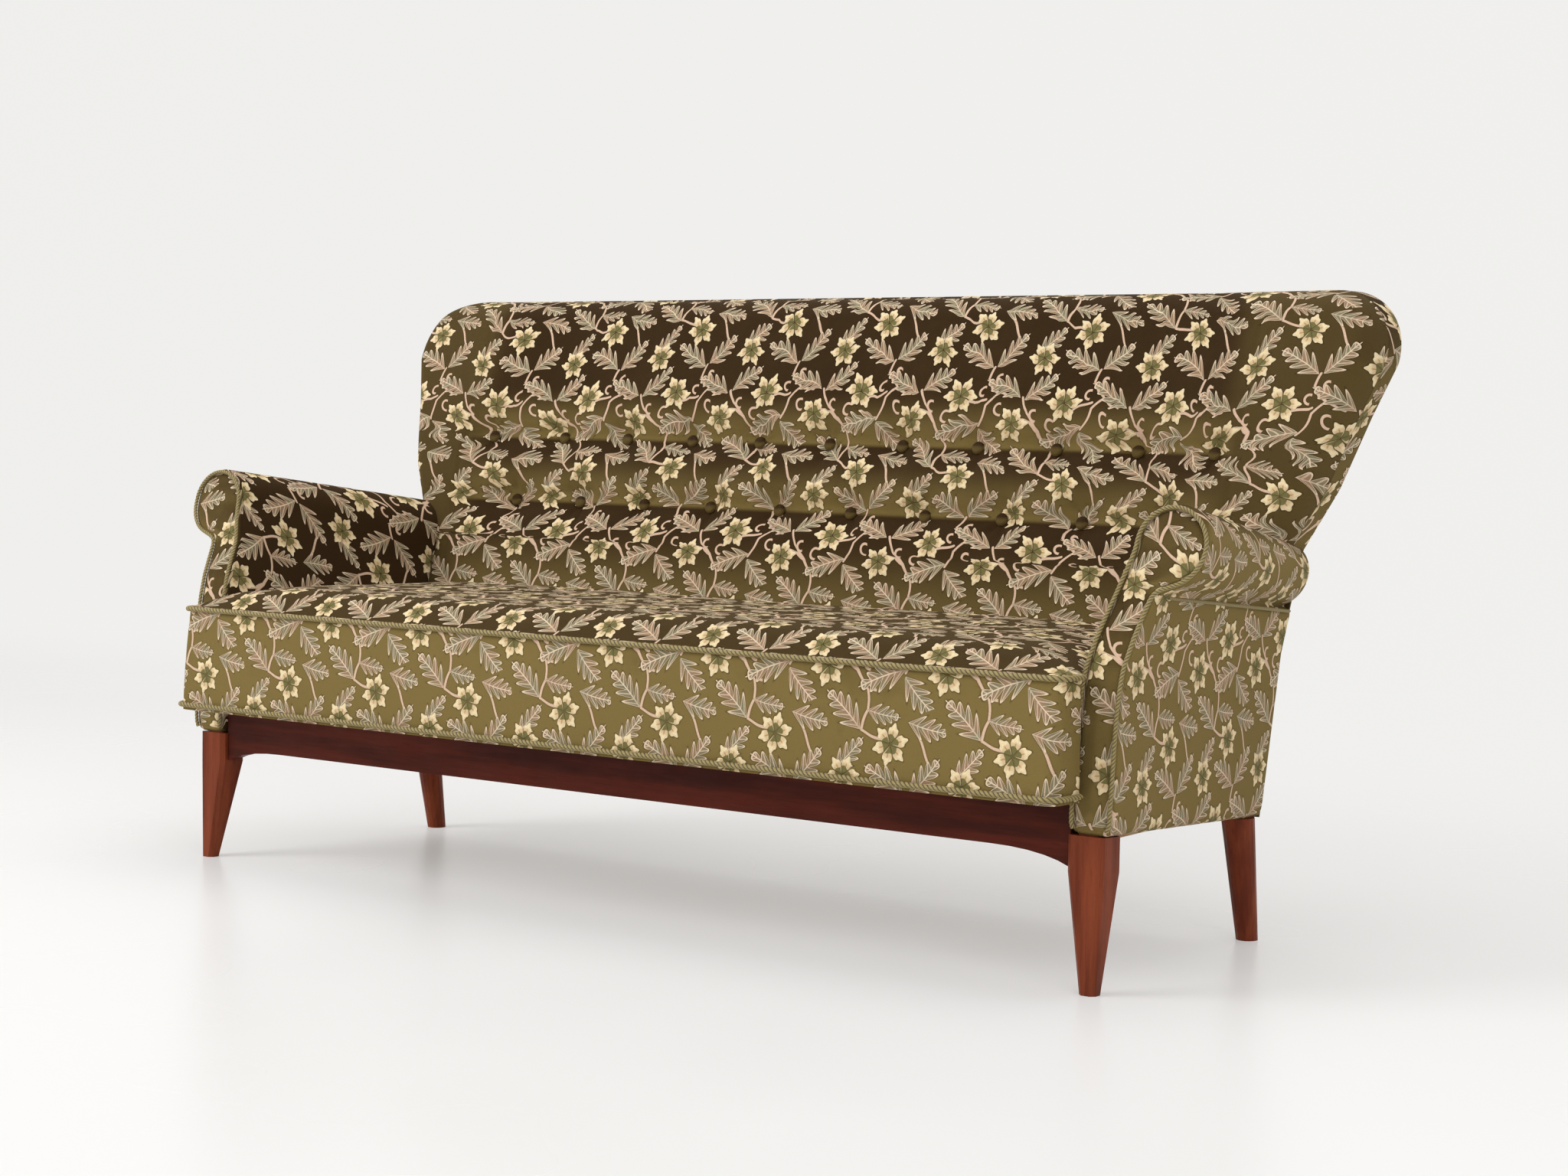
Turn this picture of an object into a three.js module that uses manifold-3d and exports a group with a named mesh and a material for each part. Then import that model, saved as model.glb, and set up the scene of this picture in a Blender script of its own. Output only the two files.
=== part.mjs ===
// Upholstered settee with rolled arms, a buttoned back, a tight seat and an arched front rail.
// Millimetres. X runs to the right as seen from the front, Y to the back, Z up.
// Left and right are those of a viewer in front. Y counts from the front feet until the end,
// where the whole is moved so that the origin is the bottom centre of its bounding box.
import * as THREE from "three";
import Module from "manifold-3d";

const wasm = await Module();
wasm.setup();
const { Manifold } = wasm;

// Driving dimensions
const total_height = 893; // floor to the top edge of the back
const top_dip = 5; // how far the back's top edge sags at the middle
const seat_welt_height = 397; // floor to the seat's top welt
const seat_underside = 238.6; // floor to the underside of the seat pad
const seat_half_width = 788; // over the front lip, which laps in front of the arms
const seat_front = -77; // Y of the seat's front face
const seat_rear = 415; // Y of the seat's rear face
const seat_crown = 28; // rise of the seat's top above its welt
const leg_row = 0; // Y of the front feet's centres
const front_foot_reach = 12; // from the seat's half width out to the front foot's centre
const rear_foot_inset = 21; // from the seat's half width in to the rear foot's centre
const front_foot_x = seat_half_width + front_foot_reach;
const rear_foot_x = seat_half_width - rear_foot_inset;
const rear_foot_y = 472;

// Clearances and overruns
const gap = 0.3; // between pieces that touch
const soft_gap = 0.8; // between two upholstered faces
const overrun = 6; // how far a cut runs past what it cuts

// Rear outline of the back: bottom hem, seat level and top edge
const hem_height = 172;
const kink_height = 400;
const hem_rear = 470;
const kink_rear = 500;
const top_rear = 675;

// Outline of the back: how far its outer edge lies outside the seat's half width at each height
const hem_inset = 1;
const outline_spread = 105;
const back_rise = total_height - kink_height;
const outline_shares = [
  { up: 0, out: 0.0857143 },
  { up: 0.2677485, out: 0.1333333 },
  { up: 0.4401623, out: 0.4952381 },
  { up: 0.643002, out: 0.7619048 },
  { up: 0.7951318, out: 1 },
];
const back_outline = [
  { z: hem_height, half: seat_half_width - hem_inset },
  ...outline_shares.map(({ up, out }) => ({
    z: kink_height + back_rise * up,
    half: seat_half_width + outline_spread * out,
  })),
];
const back_corner_radius = 92;
const back_wall = 12; // padding and cloth of the outside back
const back_frame_depth = 34;
const web_thickness = 2;
const back_pad_bottom = 402;
const button_plane = 58; // from the rear outline forward to the seats of the buttons
const back_puff = 26; // how far the back swells in front of its buttons
const back_edge_radius = 34;
const back_hem = 1; // thickness of the back pad's edge
const wing_depth = 28; // how far the ends of the back come forward
const wing_length = 160;
const wing_inset = 68; // from the seat's half width in to where a wing is fully forward
const wing_end = seat_half_width - wing_inset;
const wing_start = wing_end - wing_length;

// Buttons of the back
const button_pitch_share = 0.1720812; // of the seat's half width
const button_pitch = seat_half_width * button_pitch_share;
const button_upper_share = 0.5314402; // of the back's rise above its kink
const button_lower_share = 0.3225152;
const button_upper_height = kink_height + back_rise * button_upper_share;
const button_lower_height = kink_height + back_rise * button_lower_share;
const button_upper_count = 11;
const button_lower_count = 10;
const button_radius = 10;
const button_rise = 6;
const button_rim = 2;
const tuft_spread = 40; // radius of the dimple that a button pulls

// Arm sections at the front and at the rear end, for the arm on the right
const front_lap = 20; // how far the seat's lip laps across the arm's front
const rear_inset = 46; // how far the seat's half width passes the arm's inner face at the rear
const arm_front_widths = {
  inner: 0,
  outer: 61,
  waist_outer: 68,
  waist_inner: 9,
  neck_outer: 83,
  neck_inner: 26,
  roll_x: 94,
};
const arm_rear_widths = {
  inner: 0,
  outer: 48,
  waist_outer: 57,
  waist_inner: 3,
  neck_outer: 60,
  neck_inner: 5,
  roll_x: 34,
};
const out_from = (inner, widths) =>
  Object.fromEntries(Object.entries(widths).map(([key, width]) => [key, inner + width]));
// The arm's waist and neck are measured down from the middle of its roll
const arm_front_roll_height = 553;
const arm_front_drops = { waist: 153, neck: 60 };
const arm_fall = 53; // how much lower the roll is at the rear
const arm_rear_drops = { waist: 110, neck: 48 };
const down_from = (roll_z, drops) => ({
  waist: roll_z - drops.waist,
  neck: roll_z - drops.neck,
  roll_z,
});
const arm_front = {
  ...out_from(seat_half_width - front_lap, arm_front_widths),
  ...down_from(arm_front_roll_height, arm_front_drops),
  bottom: 197,
  roll: 52,
};
const arm_rear = {
  ...out_from(seat_half_width - rear_inset, arm_rear_widths),
  ...down_from(arm_front_roll_height - arm_fall, arm_rear_drops),
  bottom: hem_height + gap,
  roll: 43,
};
const arm_stations = 8;
const arm_roll_steps = 10;
const arm_roll_start = -75; // degrees
const arm_roll_end = 186; // degrees
// Y of the arm's front face at heights above the floor
const arm_face_start = -4;
const arm_face_setback = 82; // from its foot to its top
const arm_face_height = arm_front.roll_z + arm_front.roll - arm_front.bottom;
const arm_face_shares = [
  { up: 0, back: 0 },
  { up: 0.3504902, back: 0.0365854 },
  { up: 0.4362745, back: 0.0853659 },
  { up: 0.5098039, back: 0.1585366 },
  { up: 0.5955882, back: 0.3170732 },
  { up: 0.6691176, back: 0.5 },
  { up: 0.7254902, back: 0.6463415 },
  { up: 0.872549, back: 0.8780488 },
  { up: 1, back: 1 },
];
const arm_face = arm_face_shares.map(({ up, back }) => ({
  z: arm_front.bottom + arm_face_height * up,
  y: arm_face_start + arm_face_setback * back,
}));
const panel_thickness = 5.4;
const arm_welt_radius = 3;
const panel_inset = 7.4; // from the arm's edge to the front panel's edge

// Front legs: the sizes of their square block, their foot and the post above
const leg_inset = 2; // from the arm's inner face in to the front leg's inner side
const front_leg = {
  inner: arm_front.inner - leg_inset,
  width: 52,
  front: -8,
  depth: 48,
  block_bottom: 150,
  foot_width: 24,
  foot_depth: 22,
  corner: 6,
};
const post_waist_reach = 36; // from the arm's inner face out to the post's centre at its waist
const post_top_reach = 70;
const post_waist_drop = 20; // from the arm's waist down to the post's waist
const post_top_drop = 31; // from the middle of the arm's roll down to the post's top
const front_post = {
  width: 30,
  depth: 32,
  waist_height: arm_front.waist - post_waist_drop,
  waist_x: arm_front.inner + post_waist_reach,
  waist_y: 30,
  top_height: arm_front.roll_z - post_top_drop,
  top_x: arm_front.inner + post_top_reach,
  top_y: 92,
};
const post_corner = 3;

// Rear legs: round below the hem, square post above
const rear_leg_reach = 23; // from the arm's inner face at the rear out to the leg's centre
const top_rail_drop = 43; // from the back's top edge down to its top rail and posts
const rear_leg = {
  top_x: arm_rear.inner + rear_leg_reach,
  top_y: 440,
  top_radius: 23,
  foot_radius: 15,
  post_width: 32,
  post_top: total_height - top_rail_drop,
};
const round_sides = 16;

// Seat frame
const rail_top = 236;
const rail_depth = 25;
const rail_height = 60;
const apron_front = 3;
const apron_arch = 172; // underside of the apron between its haunches
const apron_haunch = 154; // underside of the apron at the legs
const haunch_length = 118;
const bearer_width = 45;
const bearer_height = 40;
const block_leg = 60;
const block_height = 50;
const lip_rail_inset = 53; // from the seat's half width in to the rail's end
const lip_rail_setback = 19; // from the seat's front face back to the rail
const lip_rail = {
  half: seat_half_width - lip_rail_inset,
  front: seat_front + lip_rail_setback,
  depth: 32,
  height: 62,
};

// Seat filling
const welt_radius = 4;
const seat_corner_radius = 16;
const seat_lean = 15; // how far the front face leans back over its height
const lip_depth = 61; // from the front face to the back of the lip
const spring_count = 6;
const spring_radius = 34;
const spring_wire = 2;
const spring_curls = 4;
const spring_pitch = 17.5;
const spring_spacing = 200;
const canvas_thickness = 1.5;
const cavity_margin = 60;
const dust_thickness = 1.4;
const band_width = 55;

// Back rails
const back_rail_half = rear_leg.top_x - rear_leg.post_width / 2 - gap;
const back_rail_height = 50;
const top_rail_top = total_height - top_rail_drop;

// Arm top rail
const top_rail_width = 28;
const top_rail_height = 34;

// Materials
const wood = { color: 0x4a2414, roughness: 0.35, metalness: 0 };
const rough_wood = { color: 0xb08b5c, roughness: 0.8, metalness: 0 };
const velvet = { color: 0x4b3e22, roughness: 0.9, metalness: 0 };
const cord_yarn = { color: 0x8a7434, roughness: 0.7, metalness: 0 };
const jute = { color: 0xa58a5a, roughness: 0.9, metalness: 0 };
const spring_steel = { color: 0x8d8f92, roughness: 0.35, metalness: 1 };
const lining = { color: 0xb9b6ae, roughness: 0.9, metalness: 0 };

// Small maths
const lerp = (a, b, t) => a + (b - a) * t;
const clamp = (value) => Math.min(1, Math.max(0, value));
const smooth = (value) => {
  const t = clamp(value);
  return t * t * (3 - 2 * t);
};

// Value of a table of {z, [key]} rows at height z, straight between the rows
function from_table(table, key, z) {
  let low = table[0];
  for (const row of table) {
    if (row.z >= z) {
      return row.z === low.z ? row[key] : lerp(low[key], row[key], (z - low.z) / (row.z - low.z));
    }
    low = row;
  }
  return low[key];
}

// Rear outline of the back at height z
function rear_y(z) {
  if (z < kink_height) {
    return lerp(hem_rear, kink_rear, (z - hem_height) / (kink_height - hem_height));
  }
  return lerp(kink_rear, top_rear, (z - kink_height) / (total_height - kink_height));
}

// Half width of the back at height z, with the round of its top corners
function back_half(z) {
  const flat = from_table(back_outline, "half", z);
  const rise = z - (total_height - back_corner_radius);
  if (rise <= 0) {
    return flat;
  }
  const drop = Math.sqrt(Math.max(0, back_corner_radius ** 2 - rise ** 2));
  return flat - back_corner_radius + drop;
}

// Closed solid from a THREE geometry, faces turned outward
function solid(geometry) {
  const spots = geometry.attributes.position;
  const known = new Map();
  const vertices = [];
  const lookup = [];
  const grain = 1e4;
  for (let i = 0; i < spots.count; i += 1) {
    const spot = [spots.getX(i), spots.getY(i), spots.getZ(i)];
    const key = spot.map((value) => Math.round(value * grain)).join();
    if (!known.has(key)) {
      known.set(key, vertices.length / 3);
      vertices.push(...spot);
    }
    lookup.push(known.get(key));
  }
  const order = geometry.index ? Array.from(geometry.index.array) : lookup.map((_, i) => i);
  const faces = [];
  for (let i = 0; i < order.length; i += 3) {
    const face = [lookup[order[i]], lookup[order[i + 1]], lookup[order[i + 2]]];
    if (new Set(face).size === 3) {
      faces.push(face);
    }
  }
  let volume = 0;
  const corner = (index) => new THREE.Vector3().fromArray(vertices, index * 3);
  for (const [a, b, c] of faces) {
    volume += corner(a).dot(corner(b).cross(corner(c)));
  }
  const turned = volume < 0 ? faces.map(([a, b, c]) => [a, c, b]) : faces;
  return new Manifold(
    new wasm.Mesh({
      numProp: 3,
      vertProperties: new Float32Array(vertices),
      triVerts: new Uint32Array(turned.flat()),
    }),
  );
}

// THREE geometry from a solid
function geometry_of(body) {
  const mesh = body.getMesh();
  const geometry = new THREE.BufferGeometry();
  const spots = new Float32Array(mesh.numVert * 3);
  for (let i = 0; i < mesh.numVert; i += 1) {
    spots.set(mesh.vertProperties.subarray(i * mesh.numProp, i * mesh.numProp + 3), i * 3);
  }
  geometry.setAttribute("position", new THREE.BufferAttribute(spots, 3));
  geometry.setIndex(new THREE.BufferAttribute(new Uint32Array(mesh.triVerts), 1));
  geometry.computeVertexNormals();
  return geometry;
}

// Triangles that close a flat ring round its middle; along says which way round they run
function fan_cap(count, first, centre, along) {
  const faces = [];
  for (let i = 0; i < count; i += 1) {
    const next = (i + 1) % count;
    faces.push(centre, first + (along ? i : next), first + (along ? next : i));
  }
  return faces;
}

// Triangles that close a ring with an undercut, cut as ears in X and Z
function ear_cap(ring, first, along) {
  const outline = ring.map(([x, , z]) => new THREE.Vector2(x, z));
  const turn = Math.sign(THREE.ShapeUtils.area(outline));
  return THREE.ShapeUtils.triangulateShape(outline, []).flatMap(([a, b, c]) => {
    const same = Math.sign(THREE.ShapeUtils.area([outline[a], outline[b], outline[c]])) === turn;
    return same === along ? [first + a, first + b, first + c] : [first + a, first + c, first + b];
  });
}

const middle_of = (ring) => [0, 1, 2].map((axis) => ring.reduce((sum, spot) => sum + spot[axis], 0) / ring.length);

// Solid through a row of rings with equal counts of points
function loft(rings, undercut = false) {
  const count = rings[0].length;
  const spots = rings.flat();
  const faces = [];
  for (let ring = 0; ring + 1 < rings.length; ring += 1) {
    for (let i = 0; i < count; i += 1) {
      const a = ring * count + i;
      const b = ring * count + ((i + 1) % count);
      faces.push(a, b, a + count, b, b + count, a + count);
    }
  }
  const last = rings[rings.length - 1];
  const last_first = (rings.length - 1) * count;
  if (undercut) {
    faces.push(...ear_cap(rings[0], 0, false), ...ear_cap(last, last_first, true));
  } else {
    spots.push(middle_of(rings[0]), middle_of(last));
    faces.push(...fan_cap(count, 0, spots.length - 2, false));
    faces.push(...fan_cap(count, last_first, spots.length - 1, true));
  }
  return solid(geometry_from(spots, faces));
}

function geometry_from(spots, faces) {
  const geometry = new THREE.BufferGeometry();
  geometry.setAttribute("position", new THREE.BufferAttribute(new Float32Array(spots.flat()), 3));
  geometry.setIndex(faces);
  return geometry;
}

// Ring of a rectangle with cut corners in plan, at height z
function block_ring(centre_x, centre_y, width, depth, corner, z) {
  const half_w = width / 2;
  const half_d = depth / 2;
  return [
    [-half_w + corner, -half_d],
    [half_w - corner, -half_d],
    [half_w, -half_d + corner],
    [half_w, half_d - corner],
    [half_w - corner, half_d],
    [-half_w + corner, half_d],
    [-half_w, half_d - corner],
    [-half_w, -half_d + corner],
  ].map(([x, y]) => [centre_x + x, centre_y + y, z]);
}

// Round ring in plan, at height z
function round_ring(centre_x, centre_y, radius, z) {
  return Array.from({ length: round_sides }, (_, i) => {
    const angle = (i / round_sides) * 2 * Math.PI;
    return [centre_x + radius * Math.cos(angle), centre_y + radius * Math.sin(angle), z];
  });
}

// Box between two corners
function box([x0, y0, z0], [x1, y1, z1]) {
  return Manifold.cube([x1 - x0, y1 - y0, z1 - z0]).translate([x0, y0, z0]);
}

// Slab that follows the rear outline: x0..x1 across, z0..z1 up, deep from near to far forward of it
function back_slab(x0, x1, z0, z1, near, far) {
  const levels = [z0, ...(z0 < kink_height && z1 > kink_height ? [kink_height] : []), z1];
  const rings = levels.map((z) => [
    [x0, rear_y(z) - far, z],
    [x1, rear_y(z) - far, z],
    [x1, rear_y(z) - near, z],
    [x0, rear_y(z) - near, z],
  ]);
  return loft(rings);
}

// Round cord through points; across is a direction that its route never runs along
function cord(points, radius, sides, across) {
  const knots = points.map((point) => new THREE.Vector3(...point));
  const rings = knots.map((knot, i) => {
    const before = knots[Math.max(0, i - 1)];
    const after = knots[Math.min(knots.length - 1, i + 1)];
    const ahead = after.clone().sub(before).normalize();
    const first = across.clone().cross(ahead).normalize();
    const second = ahead.clone().cross(first);
    return Array.from({ length: sides }, (_, k) => {
      const angle = (k / sides) * 2 * Math.PI;
      const spot = knot.clone();
      spot.addScaledVector(first, radius * Math.cos(angle));
      spot.addScaledVector(second, radius * Math.sin(angle));
      return spot.toArray();
    });
  });
  return loft(rings);
}

const upward = new THREE.Vector3(0, 0, 1);
const forward = new THREE.Vector3(0, -1, 0);
const cord_sides = 6;
const wire_sides = 5;

// Underside of the arm at Y, just behind its front face
function arm_underside(y) {
  const z = arm_front.bottom;
  const front = from_table(arm_face, "y", z);
  return lerp(arm_front.bottom, arm_rear.bottom, clamp((y - front) / (arm_end(z) - front)));
}

// Front leg of the right side, in one piece with the post inside the arm
function front_leg_solid() {
  const leg_x = front_leg.inner + front_leg.width / 2;
  const leg_y = front_leg.front + front_leg.depth / 2;
  const foot = block_ring(
    front_foot_x, leg_row, front_leg.foot_width, front_leg.foot_depth, front_leg.corner, 0,
  );
  const block = block_ring(
    leg_x, leg_y, front_leg.width, front_leg.depth, front_leg.corner, front_leg.block_bottom,
  );
  const top = block.map(([x, y]) => [x, y, arm_underside(y + overrun) - gap]);
  return loft([foot, block, top]);
}

function front_post_solid(grow = 0) {
  const leg_x = front_leg.inner + front_leg.width / 2;
  const leg_y = front_leg.front + front_leg.depth / 2;
  const ring = (x, y, z) =>
    block_ring(x, y, front_post.width + grow * 2, front_post.depth + grow * 2, post_corner, z);
  const bottom = arm_front.bottom - gap;
  return loft([
    ring(leg_x, leg_y, bottom - overrun),
    ring(leg_x, leg_y, bottom),
    ring(front_post.waist_x, front_post.waist_y, front_post.waist_height),
    ring(front_post.top_x, front_post.top_y, front_post.top_height + grow),
  ]);
}

// Rear leg of the right side, in one piece with the back post
function rear_post_solid(grow = 0) {
  const half = rear_leg.post_width / 2 + grow;
  const far = back_wall + gap + back_frame_depth + grow;
  const near = back_wall + gap - grow;
  const bottom = hem_height - (grow ? overrun : 0);
  return back_slab(rear_leg.top_x - half, rear_leg.top_x + half, bottom, rear_leg.post_top + grow, near, far);
}

function rear_leg_solid() {
  const leg = loft([
    round_ring(rear_foot_x, rear_foot_y, rear_leg.foot_radius, 0),
    round_ring(rear_leg.top_x, rear_leg.top_y, rear_leg.top_radius, hem_height),
  ]);
  return leg.add(rear_post_solid());
}

// Section of the right arm at share t of its length, as points in X and Z
function arm_section(t, grow = 0) {
  const size = {};
  for (const key of Object.keys(arm_front)) {
    size[key] = lerp(arm_front[key], arm_rear[key], t);
  }
  const points = [
    [size.inner - grow, size.bottom - grow],
    [size.outer + grow, size.bottom - grow],
    [size.waist_outer + grow, size.waist],
    [size.neck_outer + grow, size.neck - grow],
  ];
  for (let i = 0; i <= arm_roll_steps; i += 1) {
    const angle = THREE.MathUtils.degToRad(lerp(arm_roll_start, arm_roll_end, i / arm_roll_steps));
    const radius = size.roll + grow;
    points.push([size.roll_x + radius * Math.cos(angle), size.roll_z + radius * Math.sin(angle)]);
  }
  points.push([size.neck_inner - grow, size.neck], [size.waist_inner - grow, size.waist]);
  return points;
}

const arm_end = (z) => rear_y(z) - back_wall - gap;

// Wall of space that follows the arm's front face, from near to far in front of it
function face_wall(near, far) {
  const x0 = arm_front.inner - overrun;
  const x1 = arm_front.roll_x + arm_front.roll + overrun;
  const rows = [
    { z: arm_front.bottom - overrun, y: arm_face[0].y },
    ...arm_face,
    { z: arm_front.roll_z + arm_front.roll + overrun, y: arm_face[arm_face.length - 1].y },
  ];
  return loft(rows.map(({ y, z }) => [
    [x0, y - far, z],
    [x1, y - far, z],
    [x1, y - near, z],
    [x0, y - near, z],
  ]));
}

const face_reach = 150; // deeper than the lean of the arm's face

// Right arm's body before its hollows are cut
function arm_body(grow = 0) {
  const before = arm_face[0].y - overrun;
  const rings = [arm_section(0, grow).map(([x, z]) => [x, before, z])];
  for (let i = 0; i <= arm_stations; i += 1) {
    const t = i / arm_stations;
    rings.push(arm_section(t, grow).map(([x, z]) => [x, lerp(from_table(arm_face, "y", z), arm_end(z), t), z]));
  }
  rings.push(arm_section(1, grow).map(([x, z]) => [x, top_rear, z]));
  return loft(rings, true).subtract(face_wall(0, face_reach)).subtract(rear_wall());
}

// Space behind the arm's rear end
function rear_wall() {
  const x0 = arm_rear.roll_x - arm_rear.roll * 2;
  const x1 = arm_rear.roll_x + arm_rear.roll * 2;
  const top = arm_rear.roll_z + arm_rear.roll + overrun;
  return back_slab(x0, x1, hem_height - overrun, top, -top_rear, back_wall + gap);
}

// Wooden rail that carries the arm's roll, between front post and rear post
function arm_top_rail_solid(grow = 0) {
  const start = front_post.top_y + front_post.depth / 2 + gap;
  const start_z = front_post.top_height - top_rail_height / 2;
  const end_z = arm_rear.roll_z - top_rail_height / 2;
  const end = rear_y(end_z - top_rail_height / 2) - back_wall - back_frame_depth - gap * 3;
  const half_w = top_rail_width / 2 + grow;
  const half_h = top_rail_height / 2 + grow;
  const ring = (t) => {
    const x = lerp(front_post.top_x, rear_leg.top_x, t);
    const y = lerp(start, end, t);
    const z = lerp(start_z, end_z, t);
    return [
      [x - half_w, y, z - half_h],
      [x + half_w, y, z - half_h],
      [x + half_w, y, z + half_h],
      [x - half_w, y, z + half_h],
    ];
  };
  const reach = grow ? overrun / (end - start) : 0;
  return loft([ring(-reach), ring(1 + reach)]);
}

// Arm pad: cloth and padding with hollows for its frame
function arm_pad_solid() {
  return arm_body()
    .subtract(front_post_solid(gap))
    .subtract(arm_top_rail_solid(gap))
    .subtract(rear_post_solid(gap))
    .subtract(rear_rail_solid(gap))
    .subtract(back_lower_rail_solid(gap));
}

function arm_front_panel_solid() {
  const outline = arm_section(0, -panel_inset);
  const ring = (y) => outline.map(([x, z]) => [x, y, z]);
  const prism = loft([ring(-face_reach), ring(face_reach)], true);
  return prism.intersect(face_wall(gap, gap + panel_thickness));
}

// Points of a route in X and Z, with those added where it crosses a height of the arm's face table
function follow_face(route) {
  const points = [];
  for (let i = 0; i + 1 < route.length; i += 1) {
    const [from, to] = [route[i], route[i + 1]];
    const shares = arm_face
      .map(({ z }) => (z - from[1]) / (to[1] - from[1]))
      .filter((share) => share > 1 / 8 && share < 7 / 8)
      .sort((a, b) => a - b);
    points.push(from, ...shares.map((share) => [lerp(from[0], to[0], share), lerp(from[1], to[1], share)]));
  }
  points.push(route[route.length - 1]);
  return points;
}

// Welt round the arm's front panel, from the outer bottom over the roll to the inner bottom
function arm_welt_solid() {
  const outline = arm_section(0, -arm_welt_radius - gap);
  const route = follow_face([...outline.slice(1), outline[0]]);
  const proud = arm_welt_radius + gap * 3;
  const points = route.map(([x, z]) => [x, from_table(arm_face, "y", z) - proud, z]);
  return cord(points, arm_welt_radius, cord_sides, forward);
}

// X of the right arm's inner face, below its waist
function arm_inner_x(y, z) {
  const t = clamp((y - from_table(arm_face, "y", z)) / (arm_end(z) - from_table(arm_face, "y", z)));
  const low = lerp(arm_front.inner, arm_rear.inner, t);
  const high = lerp(arm_front.waist_inner, arm_rear.waist_inner, t);
  const bottom = lerp(arm_front.bottom, arm_rear.bottom, t);
  const waist = lerp(arm_front.waist, arm_rear.waist, t);
  return lerp(low, high, clamp((z - bottom) / (waist - bottom)));
}

// Stations of the seat pad from front to rear: where, how wide, and how far its crown has risen
const seat_corner_steps = 3;
const crown_front_shares = [0, 0.18, 0.36, 0.5];
const seat_body_shares = [0.06, 0.18, 0.34, 0.52, 0.7, 0.86, 0.95, 1];
const crown_body_shares = [0.93, 1, 1, 1, 1, 0.9, 0.7, 0.42];
const crown_lip_share = 0.86;
const seat_top_points = 18;

function seat_stations() {
  const stations = [];
  for (let i = 0; i <= seat_corner_steps; i += 1) {
    const angle = ((seat_corner_steps - i) / seat_corner_steps) * (Math.PI / 2);
    const inward = seat_corner_radius * (1 - Math.cos(angle));
    const back = seat_corner_radius * (1 - Math.sin(angle));
    stations.push({ y: seat_front + back, half: () => seat_half_width - inward, rise: crown_front_shares[i] });
  }
  const lip_back = seat_front + lip_depth;
  stations.push({ y: lip_back, half: () => seat_half_width, rise: crown_lip_share });
  for (const [i, share] of seat_body_shares.entries()) {
    const y = i ? lerp(lip_back, seat_rear, share) : lip_back + gap;
    stations.push({ y, half: (z) => arm_inner_x(y, z) - soft_gap, rise: crown_body_shares[i] });
  }
  return stations;
}

// The front face leans back as it rises
function seat_lean_at(y, z) {
  const fade = clamp((seat_front + lip_depth - y) / (lip_depth - seat_corner_radius));
  return seat_lean * fade * ((z - seat_underside) / (seat_welt_height - seat_underside));
}

const side_rise_share = 0.5;
const crown_power = 4;

function seat_body() {
  const rings = seat_stations().map(({ y, half, rise }) => {
    const mid = lerp(seat_underside, seat_welt_height, side_rise_share);
    const place = (x, z) => [x, y + seat_lean_at(y, Math.min(z, seat_welt_height)), z];
    const ring = [place(-half(seat_underside), seat_underside), place(half(seat_underside), seat_underside)];
    ring.push(place(half(mid), mid), place(half(seat_welt_height), seat_welt_height));
    for (let i = 1; i < seat_top_points; i += 1) {
      const across = 1 - (2 * i) / seat_top_points;
      const crown = seat_crown * rise * (1 - Math.abs(across) ** crown_power);
      ring.push(place(half(seat_welt_height) * across, seat_welt_height + crown));
    }
    ring.push(place(-half(seat_welt_height), seat_welt_height), place(-half(mid), mid));
    return ring;
  });
  return loft(rings);
}

const cavity_rear_margin = 34;
const spring_seat = seat_underside + gap + spring_wire;
const canvas_bottom = spring_seat + spring_curls * spring_pitch + spring_wire + gap;
const cavity_front = lip_rail.front + lip_rail.depth + cavity_margin;

// Seat pad: cloth and padding, hollow below for the springs and for the rail in its lip
function seat_pad_solid() {
  const half = arm_rear.inner - cavity_margin;
  const top = canvas_bottom + canvas_thickness + gap;
  const cavity = box(
    [-half, cavity_front, seat_underside - overrun],
    [half, seat_rear - cavity_rear_margin, top],
  );
  const rail_slot = box(
    [-lip_rail.half - gap, lip_rail.front - gap, seat_underside - overrun],
    [lip_rail.half + gap, lip_rail.front + lip_rail.depth + gap, seat_underside + lip_rail.height + gap * 2],
  );
  return seat_body().subtract(cavity).subtract(rail_slot);
}

function spring_canvas_solid() {
  const half = arm_rear.inner - cavity_margin - gap;
  return box(
    [-half, cavity_front + gap, canvas_bottom],
    [half, seat_rear - cavity_rear_margin - gap, canvas_bottom + canvas_thickness],
  );
}

function lip_rail_solid() {
  return box(
    [-lip_rail.half, lip_rail.front, seat_underside],
    [lip_rail.half, lip_rail.front + lip_rail.depth, seat_underside + lip_rail.height],
  );
}

// Welt along the seat's front edge, round both corners to the arms
function seat_welt_solid(z, radius) {
  const reach = radius + gap;
  const bend = seat_corner_radius + reach;
  const half_route = [];
  const end_y = seat_front + lip_depth - radius;
  half_route.push([seat_half_width + reach, end_y]);
  half_route.push([seat_half_width + reach, seat_front + seat_corner_radius * 2]);
  const steps = 4;
  for (let i = 0; i <= steps; i += 1) {
    const angle = (i / steps) * (Math.PI / 2);
    half_route.push([
      seat_half_width - seat_corner_radius + bend * Math.cos(angle),
      seat_front + seat_corner_radius - bend * Math.sin(angle),
    ]);
  }
  for (const share of [0.2, 0.5, 0.8]) {
    half_route.push([lerp(seat_half_width - seat_corner_radius, 0, share), seat_front - reach]);
  }
  const mirrored = half_route.map(([x, y]) => [-x, y]).reverse();
  const points = [...half_route, [0, seat_front - reach], ...mirrored];
  const placed = points.map(([x, y]) => [x, y + seat_lean_at(y, z), z]);
  return cord(placed, radius, cord_sides, upward);
}

// Flat net of bands: a sheet with rows of openings
function net(sheet, openings) {
  return sheet.subtract(Manifold.union(openings));
}

const seat_net_columns = 9;
const seat_net_rows = 3;

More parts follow.
